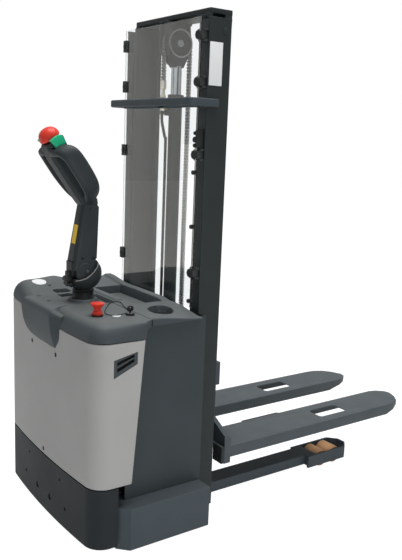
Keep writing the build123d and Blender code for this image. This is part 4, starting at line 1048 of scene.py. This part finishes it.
ring_profile = ((49, 0), (50, 2.4), (53, 3.2), (56, 2.4), (57, 0))
pin_profile = ((10, 0), (10, 9), (14, 9), (14, 11), (12, 12.5), (8, 12.5), (8, 16), (6, 18), (0.3, 18))
yoke_rings = []
for side in (-1, 1):
    for name, left, profile, sides in (("bearing_ring", 24.5, ring_profile, 72),
                                       ("wheel_pin", 15.5, pin_profile, 36)):
        yoke_rings.append(turned(name, (lift_ahead, side * left, wheel_up), (0, side, 0), profile, sides))
dress(joined("yoke_rings", *yoke_rings), "bare_steel", body="inner_mast")
dress(turned("chain_wheel", (lift_ahead, -15, wheel_up), leftward,
             ((11, 0), (18, 0), (19, 4), (43, 4), (45, 0), (61, 0), (63, 0.5), (63, 1.4), (55, 1.6), (55, 28.4),
              (63, 28.6), (63, 29.5), (61, 30), (45, 30), (43, 26), (19, 26), (18, 30), (11, 30)), 72),
      "cast_iron", "pulley", body="pulley")


# Leaf chain: rows of plates on bright pins, each row between the plates of the next
chain_ahead, chain_radius, end_wide, end_long, waist = -1.3, 61.3, 6.2, 4.8, 1.4
outer_plates, inner_plates = ((-12.5, -9.5), (-2.6, 2.6), (9.5, 12.5)), ((-8.6, -3.4), (3.4, 8.6))


def plate_line(first, pitch):
    """Outline of one link plate: two round ends about its pins, and a waist."""
    line = [(end_wide * cos(turn), first + end_long * sin(turn))
            for turn in even(radians(205), radians(335), 4)]
    line.append((waist, first + pitch / 2))
    line += [(end_wide * cos(turn), first + pitch + end_long * sin(turn))
             for turn in even(radians(25), radians(155), 4)]
    return line + [(-waist, first + pitch / 2)]


def chain_links(place, start, pitch):
    """Plates and pins of two pitches of chain, placed by lengths out from its line, along it and left."""
    plates, pins = [], []
    for first, layers in ((start, outer_plates), (start + pitch, inner_plates)):
        for low, high in layers:
            outline = [place(out, run, low) for out, run in plate_line(first, pitch)]
            plates.append(prism("link_plate", outline, (0, high - low, 0)))
        pins.append(rod("link_pin", place(0, first, -13), place(0, first, 13), 2.7, 8))
    return plates, pins


def wheel_turn(out, run, left):
    """Place on the chain's turn over the wheel."""
    turn = pi - run / chain_radius
    return (lift_ahead + (chain_radius + out) * cos(turn), left, wheel_up + (chain_radius + out) * sin(turn))


plates, pins = [], []
for step in range(8):
    more_plates, more_pins = chain_links(wheel_turn, step * pi * chain_radius / 8, pi * chain_radius / 16)
    plates += more_plates
    pins += more_pins
dress(joined("chain_turn", *plates), "bare_steel", "chain_over_pulley", body="inner_mast", finish=chain_steel)
dress(joined("chain_turn_pins", *pins), "bare_steel", "chain_over_pulley", body="inner_mast")
chain_runs = (("chain_rear_run", chain_ahead, 1759, 6, "chassis", "chain_fixed_strand"),
              ("chain_front_run", 121.3, 510, 55, "carriage", "chain_carriage_strand"))
for name, ahead, low, count, body, node in chain_runs:
    pitch = (wheel_up - low) / (2 * count)
    plates, pins = chain_links(lambda out, run, left: (ahead + out, left, low + run), 0, pitch)
    for piece, finish in ((joined(name, *plates), chain_steel), (joined(name + "_pins", *pins), bare_steel)):
        modify(piece, "ARRAY", count=count, use_relative_offset=False, use_constant_offset=True,
               constant_offset_displace=(0, 0, 2 * pitch / 1000))
        piece.data.materials.append(finish)
        bpy.ops.object.shade_smooth_by_angle(angle=radians(35))
        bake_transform(piece)
        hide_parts(node)

# Chain anchor: a clevis on a threaded rod, with its two nuts
anchor = [rounded(block("anchor_clevis", (-8.5, 6), (-13, 13), (1724, 1758)), 2),
          turned("anchor_rod", (chain_ahead, 0, 0), upward,
                 [(radius, up) for up in range(1640, 1728, 4) for radius, up in ((7.2, up), (8, up + 2))], 24)]
for low, high in ((1690, 1701), (1640, 1650)):
    anchor.append(rounded(rod("anchor_nut", (chain_ahead, 0, low), (chain_ahead, 0, high), 11, 6), 0.8, 2))
dress(joined("chain_anchor", *anchor), "zinc_yellow", "chain_anchor_bolt", finish=pale_zinc)

# Lift cylinder with its gland and port, and the hose down its rear
barrel = turned("cylinder_barrel", (lift_ahead, 0, 0), upward,
                ((8, 84), (29, 84), (29, 92), (27, 94), (27, 1676), (30, 1678), (33, 1680), (33, 1703),
                 (31, 1706), (23, 1706), (23, 1702), (22, 1702)), 64)
port = [block("port_block", (22, 40), (6, 26), (1622, 1650)),
        rod("port_union", (10, 20, 1636), (26, 18, 1636), 9, 6),
        rod("port_elbow", (9, 21, 1626), (9, 21, 1646), 8.5, 20)]
dress(joined("lift_barrel", barrel, rounded(joined("port", *port), 1, 2)),
      "dark_frame_paint", "lift_cylinder", finish=shaded_mast_coat)
hose_line = smooth_line([(9, 21, 1634), (9, 20, 1600), (12, 12, 1566), (16, 4, 1530), (17, 0, 1490),
                         (17, 0, 1000), (17, 0, 400), (17, 0, 190), (10, 0, 125), (-25, 0, 99),
                         (-132, 0, 96)], 150)
hose_radius, hose_rows = 6, []
for place, spot in enumerate(hose_line):
    before, after = beside(hose_line, place)
    run = (Vector(after) - Vector(before)).normalized()
    one = run.cross(Vector(leftward)).normalized()
    two = run.cross(one)
    hose_rows.append([tuple(Vector(spot) + (one * cos(turn) + two * sin(turn)) * hose_radius)
                      for turn in all_turns(16)])
dress(skin("cylinder_hose", hose_rows), "hose_rubber", "hydraulic_hose")

# Guard bar: a rounded bar bent round the rear of the mast, with the tie and the chain's lug between its ends
bar_half, bar_bend, bend_start, bar_up = 308.5, 22, -54.5, 1667.5
bar_line = [(49 - step, -bar_half, 0) for step in (0, 1.5, 5)]
bar_line += [(ahead, -bar_half, 0) for ahead in even(30, bend_start, 8)]
bar_line += [(bend_start - bar_bend * sin(turn), bar_bend - bar_half - bar_bend * cos(turn), turn)
             for turn in even(0, pi / 2, 10)[1:]]
bar_line += [(bend_start - bar_bend, left, pi / 2) for left in even(bar_bend - bar_half, 0, 10)[1:]]
bar_line += [(ahead, -left, pi - turn) for ahead, left, turn in bar_line[-2::-1]]
bar_section = soft_box(-6.5, 6.5, 15, 6, 6, 5)
bar_rows = []
for place, (ahead, left, turn) in enumerate(bar_line):
    small = {0: 0.55, 1: 0.85}.get(min(place, len(bar_line) - 1 - place), 1)
    bar_rows.append([(ahead - sin(turn) * wide * small, left - cos(turn) * wide * small,
                      bar_up + tall * (0.3 + 0.7 * small)) for wide, tall in bar_section])
guard = [skin("guard_rail", bar_rows), block("guard_tie", (-12, 0), (-303, 303), (1650, 1675)),
         rounded(block("chain_lug", (-12, 33), (-20, 20), (1650, 1690)), 1.5, 2)]
dress(joined("guard_rail", *guard), "dark_frame_paint", "guard_bar")

# Clips of the shield: a slotted jaw with two arms on the mast's edge, drawn up by a knob
shield_rear, jaw_deep = -22.4, (-17.6, -0.3)
knob_profile = ((8, 0), (13, 0), (13, 2.5), (17.5, 3.5), (18.5, 5), (18.5, 9), (16.5, 11.5), (9, 12), (8, 10.5),
                (0.3, 10.5))
jaws, knobs = [], []
for side in (-1, 1):
    for level in (1020, 1474, 1741, 1908):
        jaws.append(block("clip_jaw", jaw_deep, span(side, 256, 290), (level - 15, level + 15)))
        jaws.append(block("clip_side", (-26, -0.3), span(side, 281, 291), (level - 15, level + 15)))
        for low, high in ((-23, -15), (15, 23)):
            jaws.append(block("clip_arm", jaw_deep, span(side, 258, 297), (level + low, level + high)))
        if side < 0:
            knobs.append(turned("clip_knob", (shield_rear, -274, level), rearward, knob_profile, 8))
        else:
            jaws.append(block("clip_strap", (-29, shield_rear), (263, 291), (level - 24, level + 24)))
            knobs.append(turned("clip_screw", (-28.6, 277, level), rearward,
                                ((11, 0), (11, 2), (9, 3.5), (0.3, 3.5)), 20))
knobs.append(rounded(block("latch_body", jaw_deep, (-291, -262), (1498, 1568)), 2, 2))
knobs.append(rounded(block("latch_side", (-30, -0.3), (-292, -281), (1500, 1566)), 2, 2))
for up, radius in ((1554, 7), (1530, 11), (1508, 8)):
    knobs.append(turned("latch_knob", (shield_rear, -271, up), rearward,
                        ((radius, 0), (radius, 7), (radius - 2, 9), (0.3, 9)), 16))
for up in (1407, 1200, 907):
    knobs.append(turned("shield_peg", (shield_rear, -268, up), rearward,
                        ((8.5, 0), (8.5, 8), (7, 9.5), (0.3, 9.5)), 16))
dress(rounded(joined("clip_jaws", *jaws), 1.5, 2), "black_plastic", "shield_clips", finish=clip_nylon)
dress(joined("clip_knobs", *knobs), "black_plastic", "shield_clips", finish=knob_nylon, angle=25)

# Top edge of the outer mast's webs, and the bolt in the eye near it
eye_profile = ((6.6, 0), (6.6, 7), (13, 7.1), (13, 9), (11.5, 10), (0.3, 10))
tops = []
for side in (-1, 1):
    tops += [rounded(block("web_top", (0, 103), span(side, 291, 301), (1965, 1974)), 1.5, 2),
             turned("eye_bolt", (73, side * 294, 1929), (0, side, 0), eye_profile, 28)]
dress(joined("web_tops", *tops), "dark_frame_paint", finish=shaded_mast_coat)

# Blank white plate on the mast's right web
dress(rounded(block("web_plate", (5, 64), (-302.3, -301.1), (1730, 1886)), 0.5),
      "grey_cover", finish=badge_white)

# Heel plates behind the forks, between the cheeks and the carriage
heels = [rounded(block("heel_plate", (152, 167), span(side, 233, 296.5), (187, 262)), 2, 2) for side in (-1, 1)]
dress(joined("heel_plates", *heels), "dark_frame_paint", body="carriage", finish=shaded_mast_coat)

# Forks: pressed blades, hollow below, with a window, a nose cut back on its outer side and a cheek at the heel
blade_line = ((197, 106), (1268, 106), (1303, 117), (1338, 146), (1346, 175), (1325, 226), (1289, 270),
              (1246, 290), (1190, 297), (197, 297))
hollow_line = ((190, 114), (1264, 114), (1297, 124), (1328, 150), (1334, 175), (1316, 221), (1283, 263),
               (1243, 282), (1188, 289), (190, 289))
taper_line = ((1187, 208), (1350, 208), (1350, 248))
named_sides = (("right", -1), ("left", 1))
for side_name, side in named_sides:
    blade = plan_plate("fork_blade", blade_line, side, 260, -51)
    cut(blade, plan_plate("hollow_tool", hollow_line, side, 200, 54),
        side_plate("taper_tool", taper_line, side * 100, side * 205),
        rounded(block("window_tool", (779, 949), span(side, 159, 244), (235, 285)), 14, 6))
    cheek = block("fork_cheek", (167, 200), span(side, 289, 297), (185, 300))
    fork = joined("fork_" + side_name + "_blade", rounded(blade, 4.5, 4), rounded(cheek, 1.5, 2))
    dress(fork, "fork_paint", "fork_" + side_name, body="carriage")

# Load rollers: a polyurethane sleeve with rounded edges on a dark hub that shows at its ends
sleeve_profile = mirrored((24, -46), (36, -46), (38.5, -45), (40, -42))
hub_profile = mirrored((12, -48), (17, -48), (18, -46), (24, -45.5), (27, -46.6), (27, -40))
for side_name, side in named_sides:
    for place, ahead in (("rear", 808), ("front", 894)):
        which = place + "_" + side_name
        body, axle = "load_roller_" + which, (ahead, side * 193, 40)
        sleeve = turned("roller_sleeve_" + which, axle, leftward, sleeve_profile, 64)
        dress(sleeve, "roller_polyurethane", body, body=body)
        hub = turned("roller_hub_" + which, axle, leftward, hub_profile, 40)
        dress(hub, "roller_polyurethane", body, body=body, finish=hub_brown)

# Dark plugs in the service holes of the skirt
hole_plugs = []
for left, up, radius in ((62, 113, 13), (149, 223, 5), (194, 121, 7)):
    for side in (-1, 1):
        profile = ((radius + 3, 0), (radius + 3, 3.4), (radius - 0.6, 3.5), (radius - 1.2, 6), (0.3, 6.4))
        hole_plugs.append(turned("hole_plug", (rear_line(left) + 10, side * left, up), rearward, profile, 28))
dress(joined("hole_plugs", *hole_plugs), "black_plastic")


def seen_share(tree, in_mirrors):
    """One where the camera looks, straight or through the clear sheet, and less in mirrors."""
    ray = put(tree, "LightPath").outputs
    mirror = put(tree, "Math", {0: ray["Is Glossy Ray"], 1: in_mirrors}, operation="MULTIPLY").outputs[0]
    seen = put(tree, "Math", {0: ray["Is Camera Ray"], 1: mirror}, operation="MAXIMUM").outputs[0]
    return put(tree, "Math", {0: seen, 1: ray["Is Transmission Ray"]}, operation="MAXIMUM").outputs[0]


# Floor, pale enough to leave only the truck's shadow
bpy.ops.mesh.primitive_plane_add(size=40, location=(0, 0, 0))
floor = bpy.context.object
floor.name = "studio_floor"
floor_coat = bpy.data.materials.new("studio_floor")
floor_coat.use_nodes = True
tree = floor_coat.node_tree
matt = put(tree, "BsdfDiffuse", {"Color": (0.9, 0.9, 0.9, 1)})
bright = put(tree, "Emission", {"Color": (1, 1, 1, 1), "Strength": 1.2})
share = put(tree, "Math", {0: seen_share(tree, 0.5), 1: 0.82}, operation="MULTIPLY")
mix = put(tree, "MixShader", {0: share.outputs[0], 1: matt.outputs[0], 2: bright.outputs[0]})
tree.links.new(mix.outputs[0], tree.nodes["Material Output"].inputs["Surface"])
floor.data.materials.append(floor_coat)

# Soft studio light: an even surround, a wide box overhead, a low one to the right and a weak one behind
world = bpy.data.worlds.new("studio_surround")
bpy.context.scene.world = world
world.use_nodes = True
tree = world.node_tree
surround = tree.nodes["Background"]
surround.inputs["Color"].default_value = (1, 1, 1, 1)
strength = put(tree, "MapRange", {"Value": seen_share(tree, 0.35), 3: 0.28, 4: 1.0})
tree.links.new(strength.outputs[0], surround.inputs["Strength"])
for name, place, aim, size, power in (("overhead_box", (-0.2, -0.4, 5.5), (-0.2, 0, 0), 3.5, 345),
                                      ("side_box", (-1.0, -2.9, 0.7), (-0.4, 0, 0.5), 1.6, 27),
                                      ("rear_box", (-2.4, 1.7, 0.9), (-0.9, 0.3, 0.6), 1.2, 4)):
    bpy.ops.object.light_add(type="AREA", location=place)
    lamp = bpy.context.object
    lamp.name = name
    lamp.data.size = size
    lamp.data.energy = power
    lamp.rotation_euler = (Vector(aim) - Vector(place)).to_track_quat("-Z", "Y").to_euler()
